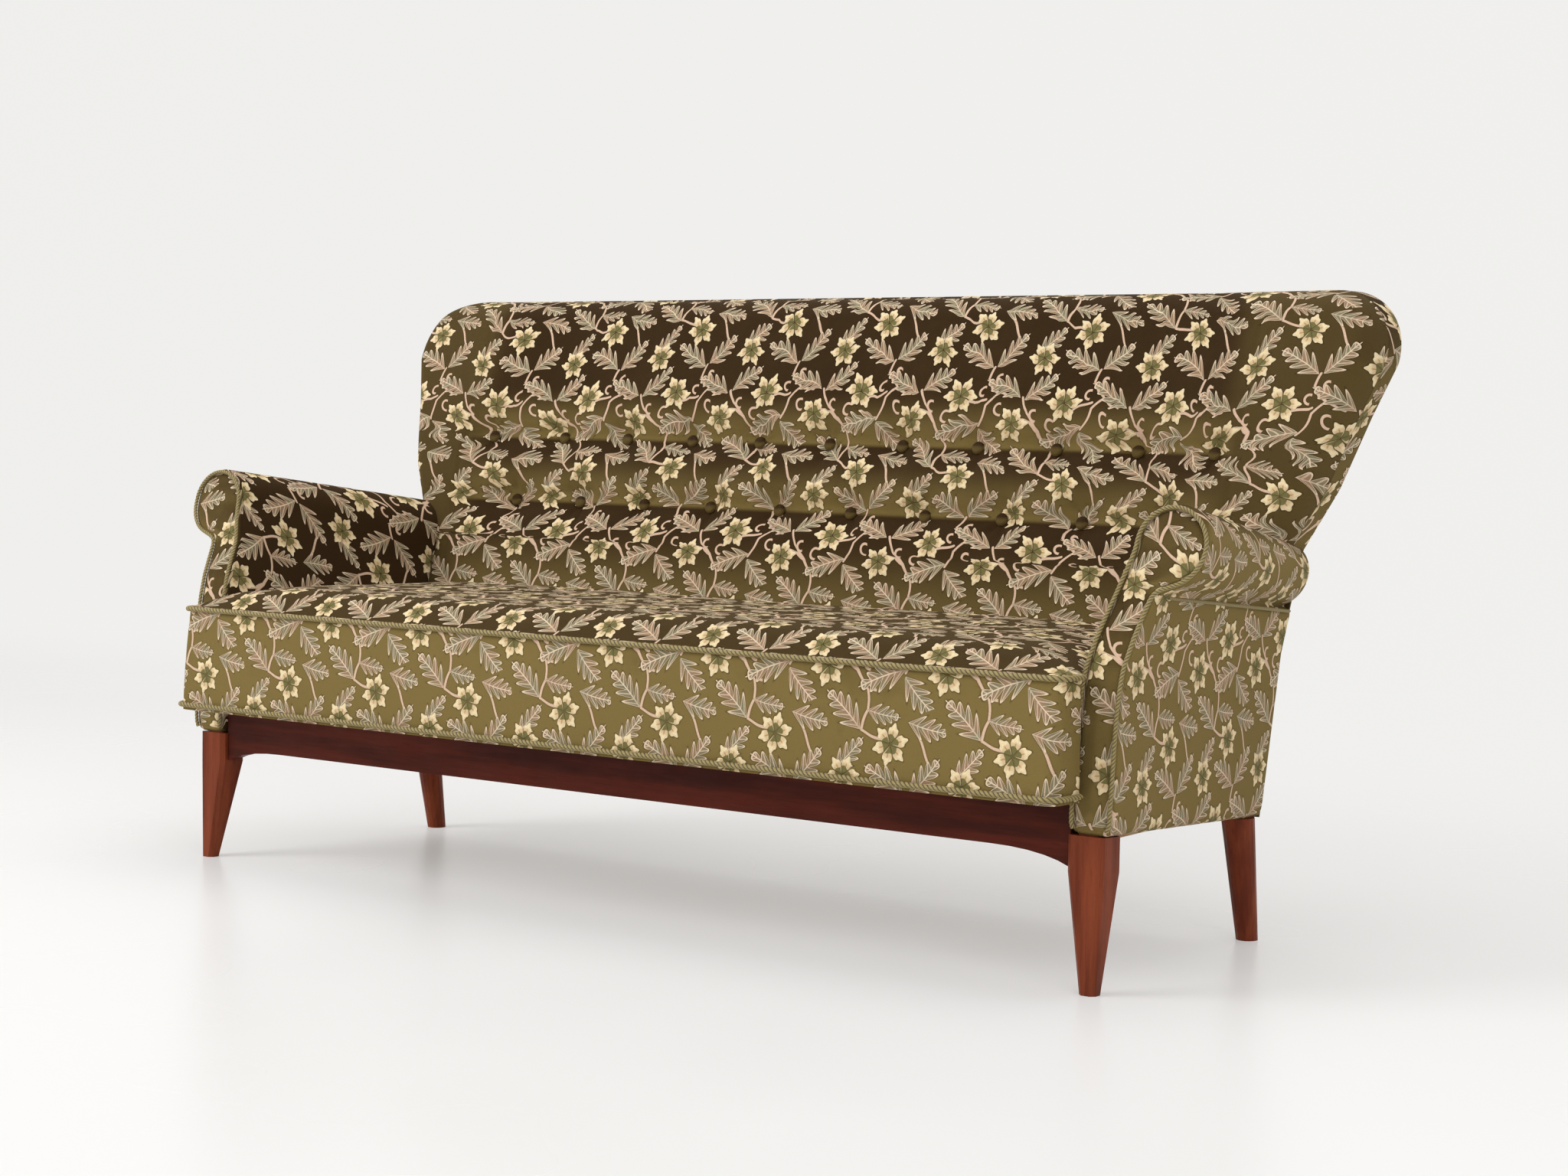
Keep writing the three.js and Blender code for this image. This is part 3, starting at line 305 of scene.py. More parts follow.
class Nodes:
    """Shorthand for the nodes of one tree."""

    sine = of_nodes("SINE")
    cosine = of_nodes("COSINE")
    most = of_nodes("MAXIMUM")
    least = of_nodes("MINIMUM")

    def __init__(self, tree):
        self.tree = tree

    def feed(self, node, key, value):
        """Links a value to a node's input, or sets a number or colour on it."""
        if isinstance(value, Value):
            self.tree.links.new(value.socket, node.inputs[key])
        elif value is not None:
            node.inputs[key].default_value = value

    def fill(self, node, inputs):
        for key, value in inputs.items() if isinstance(inputs, dict) else enumerate(inputs):
            self.feed(node, key, value)

    def node(self, kind, inputs=(), **settings):
        made = self.tree.nodes.new(kind)
        for key, value in settings.items():
            setattr(made, key, value)
        self.fill(made, inputs)
        return made

    def value(self, kind, inputs=(), output=0, **settings):
        return Value(self, self.node(kind, inputs, **settings).outputs[output])

    def math(self, operation, a, b=None, use_clamp=False):
        return self.value("ShaderNodeMath", (a, b), operation=operation, use_clamp=use_clamp)

    def vector(self, operation, a, b=None, c=None):
        output = "Value" if operation in ("LENGTH", "DISTANCE", "DOT_PRODUCT") else "Vector"
        return self.value("ShaderNodeVectorMath", (a, b, c), output, operation=operation)

    def scaled(self, vector, factor):
        return self.value("ShaderNodeVectorMath", {0: vector, "Scale": factor}, operation="SCALE")

    def range(self, value, from_low, from_high, to_low=0.0, to_high=1.0):
        """Runs smoothly from to_low to to_high while value runs from from_low to from_high."""
        inputs = (value, from_low, from_high, to_low, to_high)
        return self.value("ShaderNodeMapRange", inputs, interpolation_type="SMOOTHSTEP")

    def fade(self, value, near, far):
        """1 up to near, 0 beyond far."""
        return self.range(value, near, far, 1.0, 0.0)

    def mix(self, factor, a, b, kind="RGBA"):
        first, second, output = MIX_SOCKETS[kind]
        return self.value("ShaderNodeMix", {0: factor, first: a, second: b}, output, data_type=kind)

    def noise(self, vector, scale, detail=2.0, roughness=0.5, dimensions="3D"):
        inputs = {"Vector": vector, "Scale": scale, "Detail": detail, "Roughness": roughness}
        return self.value("ShaderNodeTexNoise", inputs, noise_dimensions=dimensions)

    def split(self, vector):
        return [Value(self, socket) for socket in self.node("ShaderNodeSeparateXYZ", (vector,)).outputs]

    def joined(self, x, y):
        return self.value("ShaderNodeCombineXYZ", (x, y))

    def cloth_place(self):
        return self.value("ShaderNodeUVMap", uv_map="cloth")

    def object_place(self):
        return self.value("ShaderNodeTexCoord", output="Object")

    def relief(self, shader, height, strength, depth):
        inputs = {"Strength": strength, "Distance": depth, "Height": height}
        self.feed(shader, "Normal", self.value("ShaderNodeBump", inputs))


def emptied(holder):
    """The node tree of a new look or world, without the nodes it came with."""
    holder.use_nodes = True
    holder.node_tree.nodes.clear()
    return Nodes(holder.node_tree)


def new_look(name):
    look = bpy.data.materials.new(name)
    n = emptied(look)
    shader = n.node("ShaderNodeBsdfPrincipled")
    output = n.node("ShaderNodeOutputMaterial")
    look.node_tree.links.new(shader.outputs[0], output.inputs[0])
    return look, n, shader


# Woven figure of the cloth: one tile with trailing vines, lobed leaves and six-petalled flowers
TILE = (0.182, 0.245)
WRAP_HALF = (TILE[0] / 2, TILE[1] / 2, 1.0)
FLOWERS = (
    (0.175, 0.225, 0.30, 1.02), (0.103, 0.180, 0.12, 0.98),
    (0.152, 0.114, 0.05, 1.10), (0.070, 0.073, 0.24, 1.05),
)  # x, y, turn in radians, size
LEAVES = (
    (0.018, 0.161, 151, 1.06), (0.024, 0.163, 47, 0.97), (0.076, 0.115, 157, 1.0), (0.083, 0.115, 39, 0.97),
    (0.090, 0.188, 44, 0.88), (0.008, 0.075, 200, 1.10), (0.006, 0.067, 317, 1.0),
    (0.128, -0.005, 140, 1.06), (0.136, 0.021, 352, 0.76), (0.018, 0.010, 350, 0.92),
)  # base x, base y, turn in degrees, size
VINES = (
    ((0.022, 0.163), (0.014, 0.145), (0.022, 0.130), (0.036, 0.120), (0.062, 0.114)),
    ((0.036, 0.120), (0.018, 0.104), (0.008, 0.072)),
    ((0.081, 0.116), (0.091, 0.094), (0.116, 0.070), (0.134, 0.046)),
    ((0.134, 0.046), (0.138, 0.021), (0.128, -0.006)),
    ((0.080, 0.084), (0.098, 0.082), (0.116, 0.070)),
    ((-0.012, 0.103), (0.018, 0.113)),
    ((0.128, -0.006), (0.158, -0.014)),
    ((0.024, 0.008), (0.058, -0.045)),
    ((0.090, 0.188), (0.098, 0.200)),
)  # points of each vine
TENDRILS = (
    (0.0420, 0.0920, 0.009), (0.1330, 0.0800, 0.009), (0.1450, 0.0560, 0.008),
    (0.0360, 0.1420, 0.008), (0.0100, 0.1250, 0.007), (0.1040, 0.0930, 0.008),
)  # curl centre x, y, radius
FIGURE_PARTS = ("Leaf", "Leaf Edge", "Petal", "Vein", "Eye", "Vine", "Height", "Shade Rim")
SHADE_RIM_EDGE = (-0.0034, -0.0004)  # the painted shade round each raised form lies between these distances outside it

PETALS = 6
PETAL_REACH = 0.0272
PETAL_BASE_SHARE = 0.30
PETAL_LOBE = (0.38, 0.56)  # power, share
PETAL_POINT = (10.0, 0.13)
PETAL_FRILL = (18, 0.035)  # waves, share
PETAL_EDGE = (-0.0003, 0.0006)
PETAL_CORE = (0.0010, 0.0050)
PETAL_CORE_SHARE = 0.45
PETAL_VEIN_EDGE = (0.0014, 0.0050)
PETAL_VEIN_REACH = (PETAL_REACH * 0.55, PETAL_REACH * 0.72)
PETAL_GAP = (0.0008, 0.0030)
PETAL_GAP_SHARE = 0.95
PETAL_HEIGHTS = (0.6, 0.4)
EYE_REACH = 0.0122
EYE_RIPPLE = (5, 0.0012)  # waves, depth
EYE_EDGE = (-0.0003, 0.0007)
EYE_SPLIT = (1.5, 0.6)
EYE_LINE = (0.0005, 0.0014)

LEAF_LENGTH = 0.070
LEAF_HALF = 0.0180
LEAF_SWAY = (55, 0.0016)  # radians per metre, depth
LEAF_SWEEP = 17.0
LEAF_LOBES = (math.pi * 4.2, 0.35)  # radians along the leaf, radians at its base
LEAF_LOBE_POWER = 1.1
LEAF_LOBE_SHARES = (0.84, 0.16)
LEAF_BODY_POWERS = (0.9, 0.85)
LEAF_SIDE = (-0.0002, 0.0006)
LEAF_CORE = (0.0018, 0.0040)
LEAF_RIB = (0.0005, 0.0013)
LEAF_VEIN = (0.10, 0.36)
LEAF_VEIN_SHARE = 0.70
LEAF_FADE = (0.02, 0.45, 0.55, 1.0)
LEAF_HEIGHTS = (0.45, 0.5)

VINE_HALF = 0.0017
VINE_EDGE = (VINE_HALF * 0.75, VINE_HALF * 1.4)
VINE_SHADE_RIM = (VINE_HALF, VINE_HALF * 2.6)
VINE_WOBBLE = 0.0016
VINE_WAVES = (5, 4)
TENDRIL_OPEN_SHARE = 0.3


def flower_parts(n, flower, away):
    """Six broad petals with a pointed tip, and a leafy eye."""
    x, y, _ = n.split(flower)
    angle = n.math("ARCTAN2", y, x)
    lobes = abs(n.cosine(angle * (PETALS / 2)))
    reach = lobes ** PETAL_LOBE[0] * PETAL_LOBE[1] + PETAL_BASE_SHARE
    reach = reach + lobes ** PETAL_POINT[0] * PETAL_POINT[1]
    reach = reach + n.cosine(angle * PETAL_FRILL[0]) * PETAL_FRILL[1]
    inside = reach * PETAL_REACH - away
    core = n.range(inside, *PETAL_CORE)
    vein = n.fade(abs(n.sine(angle * (PETALS / 2))) * away, *PETAL_VEIN_EDGE)
    vein = n.most(vein, core * PETAL_CORE_SHARE) * n.fade(away, *PETAL_VEIN_REACH)
    parting = n.fade(lobes * away, *PETAL_GAP)
    petal = n.range(inside, *PETAL_EDGE) * (1.0 - parting * PETAL_GAP_SHARE)
    eye_reach = n.cosine(angle * EYE_RIPPLE[0]) * EYE_RIPPLE[1] + EYE_REACH
    eye_split = abs(n.sine(angle * EYE_SPLIT[0] + EYE_SPLIT[1]))
    eye = n.range(eye_reach - away, *EYE_EDGE) * n.range(eye_split * away, *EYE_LINE)
    height = petal * (core * PETAL_HEIGHTS[1] + PETAL_HEIGHTS[0])
    return petal, vein, eye, n.range(inside, *SHADE_RIM_EDGE), height


def leaf_parts(n, leaf):
    """Lobes that lean towards the tip, a pale edge, a midrib and side veins."""
    x, y, _ = n.split(leaf)
    off = abs(y + n.sine(x * LEAF_SWAY[0]) * LEAF_SWAY[1])
    along = x / LEAF_LENGTH
    lobe_angle = (along - off * LEAF_SWEEP) * LEAF_LOBES[0] + LEAF_LOBES[1]
    lobe = abs(n.sine(lobe_angle)) ** LEAF_LOBE_POWER
    body = n.most(along, 0.0) ** LEAF_BODY_POWERS[0]
    body = n.math("SINE", body * math.pi, use_clamp=True) ** LEAF_BODY_POWERS[1]
    inside = body * (lobe * LEAF_LOBE_SHARES[0] + LEAF_LOBE_SHARES[1]) * LEAF_HALF - off
    within = n.math("GREATER_THAN", along, 0.0) * n.math("LESS_THAN", along, 1.0)
    side_vein = n.fade(abs(n.cosine(lobe_angle)), *LEAF_VEIN) * LEAF_VEIN_SHARE
    edge = n.most(1.0 - n.range(inside, *LEAF_CORE), n.most(n.fade(off, *LEAF_RIB), side_vein))
    edge = edge * n.range(along, *LEAF_FADE)
    return n.range(inside, *LEAF_SIDE) * within, edge, n.range(inside, *SHADE_RIM_EDGE) * within


def figure_group():
    """Node group: a place on the cloth in metres to the share of each part of the figure there."""
    group = bpy.data.node_groups.new("woven_figure", "ShaderNodeTree")
    group.interface.new_socket("Place", in_out="INPUT", socket_type="NodeSocketVector")
    for name in FIGURE_PARTS:
        group.interface.new_socket(name, in_out="OUTPUT", socket_type="NodeSocketFloat")
    n = Nodes(group)
    place = n.value("NodeGroupInput")

    def wrapped(spot, x, y):
        away = n.vector("SUBTRACT", spot, (x, y, 0.0))
        return n.vector("WRAP", away, WRAP_HALF, tuple(-half for half in WRAP_HALF))

    def local(x, y, turn, size):
        inputs = {"Vector": wrapped(place, x, y), "Angle": -turn}
        return n.scaled(n.value("ShaderNodeVectorRotate", inputs, rotation_type="Z_AXIS"), 1 / size)

    def nearest(spots, middle):
        best = None
        for spot in spots:
            away = n.vector("LENGTH", n.vector("SUBTRACT", spot, (middle, 0.0, 0.0)))
            if best:
                spot = n.mix(n.math("LESS_THAN", away, best_away), best, spot, "VECTOR")
                away = n.least(away, best_away)
            best, best_away = spot, away
        return best, best_away

    flower, flower_away = nearest([local(*row) for row in FLOWERS], 0.0)
    leaf_spots = [local(x, y, math.radians(turn), size) for x, y, turn, size in LEAVES]
    leaf_spot, _ = nearest(leaf_spots, LEAF_LENGTH / 2)
    petal, vein, eye, petal_shade_rim, petal_height = flower_parts(n, flower, flower_away)
    leaf, edge, leaf_shade_rim = leaf_parts(n, leaf_spot)

    # Vines and curled tendrils, on places that waver
    across, up, _ = n.split(place)
    wobble_x = n.sine(up * (2 * math.pi * VINE_WAVES[0] / TILE[1])) * VINE_WOBBLE
    wobble_y = n.sine(across * (2 * math.pi * VINE_WAVES[1] / TILE[0])) * VINE_WOBBLE
    bent = n.vector("ADD", place, n.joined(wobble_x, wobble_y))
    near = None
    for route in VINES:
        home = route[len(route) // 2]
        here = wrapped(bent, *home)
        for (x0, y0), (x1, y1) in zip(route, route[1:]):
            away = n.vector("SUBTRACT", here, (x0 - home[0], y0 - home[1], 0.0))
            line = (x1 - x0, y1 - y0, 0.0)
            run = line[0] ** 2 + line[1] ** 2
            share = n.math("DIVIDE", n.vector("DOT_PRODUCT", away, line), run, use_clamp=True)
            far = n.vector("DISTANCE", away, n.scaled(line, share))
            near = n.least(near, far) if near else far
    for x, y, radius in TENDRILS:
        away = wrapped(bent, x, y)
        open_side = n.math("GREATER_THAN", n.split(away)[0], radius * TENDRIL_OPEN_SHARE)
        near = n.least(near, abs(n.vector("LENGTH", away) - radius) + open_side)
    # Painted shade just outside the petals, leaves and vines
    shade_rim = n.most(n.most(petal_shade_rim, leaf_shade_rim), n.fade(near, *VINE_SHADE_RIM))

    no_petal = 1.0 - petal
    leaf = leaf * no_petal
    vine = n.fade(near, *VINE_EDGE) * (no_petal * (1.0 - leaf))
    height = n.most(petal_height, leaf * (edge * LEAF_HEIGHTS[1] + LEAF_HEIGHTS[0]))
    n.node("NodeGroupOutput", (leaf, edge, petal, vein, eye, vine, height, shade_rim))
    return group


FIGURE = figure_group()

# Velvet
# Shaded and lit tones of the velvet's ground, for its painted light and shade
NAP_SHADED = colour(56, 38, 16)
NAP_LIT = colour(133, 114, 66)
NAP_SHADED_DEEP = colour(34, 22, 8)
NAP_LIT_DEEP = colour(100, 82, 40)
LEAF_FILL = colour(136, 132, 102)
LEAF_PINK = colour(166, 134, 104)
LEAF_EDGE = colour(255, 230, 198)
LEAF_SHADE = colour(120, 94, 70)
PETAL = colour(250, 230, 186)
PETAL_VEIN = colour(182, 142, 96)
PETAL_SHADE = colour(196, 164, 118)
EYE = colour(118, 110, 66)
VINE = colour(232, 200, 172)
VINE_SHADE = colour(168, 128, 98)
# Painted shade round the raised figure, itself painted lit or shaded by facing like the ground
SOIL = colour(66, 50, 30)
SHADE_RIM_DARK = colour(30, 19, 8)
SHADE_RIM_LIGHT = colour(76, 60, 34)
SHADE_RIM_SHARE = 0.60
PILE_GLOSS = {
    "Specular IOR Level": 0.10,
    "Sheen Weight": 0.10,
    "Sheen Roughness": 0.35,
    "Sheen Tint": colour(190, 172, 130),
}
GROUND_ROUGHNESS = 0.92
FIGURE_ROUGHNESS = 0.66
VELVET_RELIEF = (0.9, 0.0024)  # strength, depth
# Painted light and shade in bands along the rows of buttons on the back
BAND_REACH = 0.085
BAND_SHARE = 0.85
BAND_EDGE = 0.004
BAND_END_LIGHT = 0.30
ABOVE_ALL = TOP_Z * 2  # stands for a row above the last
LOW_DARK = 0.030
LOW_BAND_LIGHT = 0.75

# Noises of the velvet: scale per metre, detail, roughness, dimensions. Each has its share of the effect.
PATCHES = (7.0, 1.0)
PATCHES_SHARE = 0.44
RUBBED = (42.0, 1.5, 0.6)
RUBBED_SHARE = 0.24
PILE = (1300.0, 1.0, 0.7, "2D")
PILE_SHARE = 0.40
PILE_HEIGHT = 0.16
YARN = (620.0, 1.0, 0.6, "2D")
YARN_LEAF_SHARE = 0.36
YARN_PETAL_SHARE = 0.30
YARN_VINE_SHARE = 0.40
YARN_HEIGHT = 0.30
LEAF_PATCHES = (38.0, 0.0, 0.5, "2D")
LEAF_PATCH_EDGE = (0.35, 0.65)
SOILING = (3.0, 1.5, 0.6)
SOIL_SHARE = 0.16


def painted_fold_light(n, place):
    """Share of painted light on the back's folds: most just above each row of buttons, least just below it,
    where painted shade falls.
    """
    side, _, height = n.split(place)
    light = n.range(height, BACK_BOTTOM, ROW_HEIGHTS[0] - LOW_DARK, LOW_BAND_LIGHT, 0.0)
    for row_z, next_z in zip(ROW_HEIGHTS, (*ROW_HEIGHTS[1:], ABOVE_ALL)):
        above = n.range(height, row_z - BAND_EDGE, row_z + BAND_EDGE)
        fading = n.fade(height, row_z, row_z + BAND_REACH)
        under_next = n.fade(height, next_z - BAND_EDGE, next_z + BAND_EDGE)
        light = n.most(light, above * fading * under_next)
    held = n.fade(abs(side), VALLEY_END, VALLEY_END + VALLEY_FADE)
    return n.mix(held, BAND_END_LIGHT, light, "FLOAT")


def velvet(name, shaded_above, lit_below, bias=0.0, inward_shade=0.0, banded=False, figured=True):
    """Figured velvet with painted light and shade: faces turned up are painted dark and faces that drop are
    painted light, as light falls on its lying pile.
    """
    look, n, shader = new_look(name)
    place = n.cloth_place()
    tile = n.node("ShaderNodeGroup")
    tile.node_tree = FIGURE
    n.feed(tile, 0, place)
    leaf, edge, petal, vein, eye, vine, height, shade_rim = (Value(n, socket) for socket in tile.outputs)
    spot = n.object_place()
    facing = n.split(n.value("ShaderNodeNewGeometry", output="Normal"))
    # Painted light and shade by facing, shifted in random patches
    facing_and_patches = facing[2] + (n.noise(spot, *PATCHES) - 0.5) * PATCHES_SHARE
    facing_and_patches = facing_and_patches + (n.noise(spot, *RUBBED) - 0.5) * RUBBED_SHARE
    lit_share = n.fade(facing_and_patches, lit_below, shaded_above)
    if banded:
        # On the back, bands of painted light and shade along the folds at the rows of buttons
        lit_share = n.mix(BAND_SHARE, lit_share, painted_fold_light(n, spot), "FLOAT")
    # Painted shade on faces turned in towards the middle, such as the arms' inner sides
    if inward_shade:
        outward = n.math("SIGN", n.split(spot)[0])
        lit_share = lit_share - n.most(facing[0] * outward * -1.0, 0.0) * inward_shade
    lit_share = n.math("ADD", lit_share, bias, use_clamp=True)
    pile = n.noise(place, *PILE)
    yarn = n.noise(place, *YARN)
    tone = n.mix(lit_share, NAP_SHADED, NAP_LIT)
    tone = n.mix(pile * PILE_SHARE, tone, n.mix(lit_share, NAP_SHADED_DEEP, NAP_LIT_DEEP))
    relief = yarn * YARN_HEIGHT
    if figured:
        leaf_tone = n.mix(n.range(n.noise(place, *LEAF_PATCHES), *LEAF_PATCH_EDGE), LEAF_FILL, LEAF_PINK)
        leaf_tone = n.mix(yarn * YARN_LEAF_SHARE, n.mix(edge, leaf_tone, LEAF_EDGE), LEAF_SHADE)
        petal_tone = n.mix(yarn * YARN_PETAL_SHARE, n.mix(vein, PETAL, PETAL_VEIN), PETAL_SHADE)
        # Painted shade round the raised figure
        tone = n.mix(shade_rim * SHADE_RIM_SHARE, tone, n.mix(lit_share, SHADE_RIM_DARK, SHADE_RIM_LIGHT))
        tone = n.mix(vine, tone, n.mix(yarn * YARN_VINE_SHARE, VINE, VINE_SHADE))
        tone = n.mix(leaf, tone, leaf_tone)
        tone = n.mix(petal, tone, petal_tone)
        tone = n.mix(eye, tone, EYE)
        relief = height + relief
    tone = n.mix(n.noise(spot, *SOILING) * SOIL_SHARE, tone, SOIL)
    woven = n.most(n.most(leaf, petal), vine)
    rough = n.mix(woven, GROUND_ROUGHNESS, FIGURE_ROUGHNESS, "FLOAT")
    n.fill(shader, {"Base Color": tone, "Roughness": rough, **PILE_GLOSS})
    n.relief(shader, relief + pile * PILE_HEIGHT, *VELVET_RELIEF)
    return look


# Twisted silk cord
# Painted shade in the grooves between strands, and the cord's own colour on their crests
ROPE_GROOVE_SHADE = colour(36, 27, 10)
ROPE_CREST = colour(160, 142, 86)
ROPE_FUZZ = colour(104, 86, 46)
ROPE_CREST_EDGE = (0.05, 0.85)
ROPE_THREADS = (4.0, 700)  # for each strand, for each metre
ROPE_THREAD_RATE = 6.2
ROPE_THREAD_HEIGHT = 0.3
ROPE_FUZZ_NOISE = (900.0, 2.0, 0.6)
ROPE_FUZZ_SHARE = 0.4
ROPE_GLOSS = {"Roughness": 0.6, "Sheen Weight": 0.08}
ROPE_RELIEF = (0.5, 0.0005)


def rope_look(name):
    """Its u coordinate counts strands round the cord, v runs along it."""
    look, n, shader = new_look(name)
    u, v, _ = n.split(n.cloth_place())
    crest = abs(n.cosine(u * math.pi))
    threads = n.sine((u * ROPE_THREADS[0] + v * ROPE_THREADS[1]) * ROPE_THREAD_RATE)
    fuzz = n.noise(n.object_place(), *ROPE_FUZZ_NOISE)
    # Painted shade in the grooves, lighter on the crests
    tone = n.mix(n.range(crest, *ROPE_CREST_EDGE), ROPE_GROOVE_SHADE, ROPE_CREST)
    n.fill(shader, {"Base Color": n.mix(fuzz * ROPE_FUZZ_SHARE, tone, ROPE_FUZZ), **ROPE_GLOSS})
    n.relief(shader, threads * ROPE_THREAD_HEIGHT + fuzz, *ROPE_RELIEF)
    return look


# Wood, with its grain along one axis
GRAIN_SQUEEZE = 14.0
RINGS = (3.0, 4.0, 0.6)
RING_EDGE = (0.32, 0.68)
PORES = (28.0, 3.0, 0.7)
PORE_EDGE = (0.50, 0.72)
PORE_SHARE = 0.30
PORE_TONE = 0.45
WEAR = (30.0, 3.0, 0.6)
WEAR_EDGE = (0.62, 0.80)
WEAR_SHARE = 0.15
WEAR_TONE = 1.6
WEAR_GLOSS_EDGE = (0.2, 0.8)
GLOSSIER = 0.06
DULLER = 0.14
WOOD_HEIGHTS = (0.6, 0.4)
WOOD_RELIEF = (0.22, 0.0006)


def wood_look(name, dark, light, along, roughness, specular=0.5):
    """Stained or bare wood. Its grain runs along 0 for X, 1 for Y or 2 for Z."""
    look, n, shader = new_look(name)
    place = n.object_place()
    squeeze = tuple(1.0 if axis == along else GRAIN_SQUEEZE for axis in range(3))
    grain_place = n.vector("MULTIPLY", place, squeeze)
    pores = n.noise(grain_place, *PORES)
    wear = n.noise(place, *WEAR)
    tone = n.mix(n.range(n.noise(grain_place, *RINGS), *RING_EDGE), dark, light)
    tone = n.mix(n.range(pores, *PORE_EDGE) * PORE_SHARE, tone, toned(dark, PORE_TONE))
    tone = n.mix(n.range(wear, *WEAR_EDGE) * WEAR_SHARE, tone, toned(light, WEAR_TONE))
    rough = n.range(wear, *WEAR_GLOSS_EDGE, roughness - GLOSSIER, roughness + DULLER)
    n.fill(shader, {"Base Color": tone, "Roughness": rough, "Specular IOR Level": specular})
    n.relief(shader, pores * WOOD_HEIGHTS[0] + wear * WOOD_HEIGHTS[1], *WOOD_RELIEF)
    return look


# Plain weave of bands or lining
SLUB = (260.0, 3.0, 0.7)
SLUB_SHARE = 0.4
WEAVE_EDGE = (-0.8, 0.8)
WEAVE_ROUGHNESS = 0.9
WEAVE_STRENGTH = 0.5
WEAVE_DEPTH_SHARE = 0.25


def woven_look(name, dark, light, pitch):
    """Pitch is the width of two threads."""
    look, n, shader = new_look(name)
    place = n.object_place()
    x, y, z = n.split(place)
    turn = 2 * math.pi / pitch
    weave = n.sine(x * turn) * n.sine((y + z) * turn)
    slub = n.noise(place, *SLUB)
    tone = n.mix(slub * SLUB_SHARE, n.mix(n.range(weave, *WEAVE_EDGE), dark, light), dark)
    n.fill(shader, {"Base Color": tone, "Roughness": WEAVE_ROUGHNESS})
    n.relief(shader, weave + slub, WEAVE_STRENGTH, pitch * WEAVE_DEPTH_SHARE)
    return look


# Spring steel with spots of rust
STEEL_BRIGHT = colour(150, 148, 142)
STEEL_RUST = colour(112, 84, 62)
RUST = (60.0, 4.0, 0.6)
RUST_EDGE = (0.5, 0.7)
RUST_ROUGHNESS = (0.4, 0.7, 0.3, 0.65)


def steel_look(name):
    look, n, shader = new_look(name)
    rust = n.noise(n.object_place(), *RUST)
    tone = n.mix(n.range(rust, *RUST_EDGE), STEEL_BRIGHT, STEEL_RUST)
    n.fill(shader, {"Base Color": tone, "Roughness": n.range(rust, *RUST_ROUGHNESS), "Metallic": 1.0})
    return look


BEECH = (colour(150, 112, 70), colour(196, 160, 112))
# One cloth in several looks, each with its own share of painted light and shade
VELVET_BACK = velvet("velvet_back", 0.44, -0.20, banded=True)
# The covered buttons are painted dark, as shade in their hollows
VELVET_BUTTON = velvet("velvet_button", 0.90, 0.10, -0.55, figured=False)
VELVET_SEAT = velvet("velvet_seat", 0.75, 0.0, 0.12)
VELVET_ARM = velvet("velvet_arm", 1.15, 0.20, inward_shade=1.1)
VELVET_FACE = velvet("velvet_arm_face", 0.70, -0.45, 0.10)
VELVET_REAR = velvet("velvet_outside_back", 0.7, -0.9)
ROPE = rope_look("welt_cord")
WOOD = wood_look("stained_leg_wood", colour(92, 37, 18), colour(128, 60, 33), 2, 0.40, 0.14)
# The rail's stained wood, painted darker than the legs as shade under the seat
APRON_WOOD_SHADED = wood_look("stained_rail_wood_shaded", colour(60, 21, 12), colour(90, 34, 20), 0, 0.44, 0.10)
FRAME_WOOD_X = wood_look("beech_across", *BEECH, 0, 0.6)
FRAME_WOOD_Y = wood_look("beech_deep", *BEECH, 1, 0.6)
JUTE = woven_look("jute_web", colour(116, 88, 52), colour(178, 146, 96), 0.003)
LINING = woven_look("grey_lining", colour(150, 148, 142), colour(206, 204, 198), 0.0012)
STEEL = steel_look("spring_wire")


# Back pad: bands of padding between two rows of buttons
BACK_COLUMNS = 400
BACK_ROWS = 130
EDGE_CROWDING = 0.6
TUFT_SPREAD = 0.034
VALLEY_SPREAD = 0.020
VALLEY_SHARE = 0.56
SEAM_X = 0.722
SEAM_SPREAD = 0.0045
SEAM_DEPTH = 0.0035
SEAM_START = 0.43
SEAM_FADE = 0.05
PUCKER_DEPTH = 0.0024
PUCKER_RADIUS = 0.018
PUCKER_SPREAD = 0.012
PUCKERS = 7
PUCKER_TURN = 9  # radians for each metre across
BACK_WAVER = (0.09, 0.0010)
BACK_RIM = 0.001
BACK_EASE = 0.5  # share of the way to cloth that follows every swell
BACK_FIGURE = (0.100, -0.267)  # how far the woven figure is shifted on the back


def button_places():
    return [((i - (count - 1) / 2) * BUTTON_PITCH, z) for count, z in BUTTON_ROWS for i in range(count)]


def button_seat_y(x, z):
    """Y of the plane that the buttons sit on, with the wings bent forward."""
    out = smooth((np.abs(x) - WING_START) / (WING_END - WING_START))
    up = smooth((z - LINE_Z[1]) / (BUTTON_ROWS[0][1] - LINE_Z[1]))
    return rear_y(z) - BUTTON_PLANE - WING_DEPTH * out * up


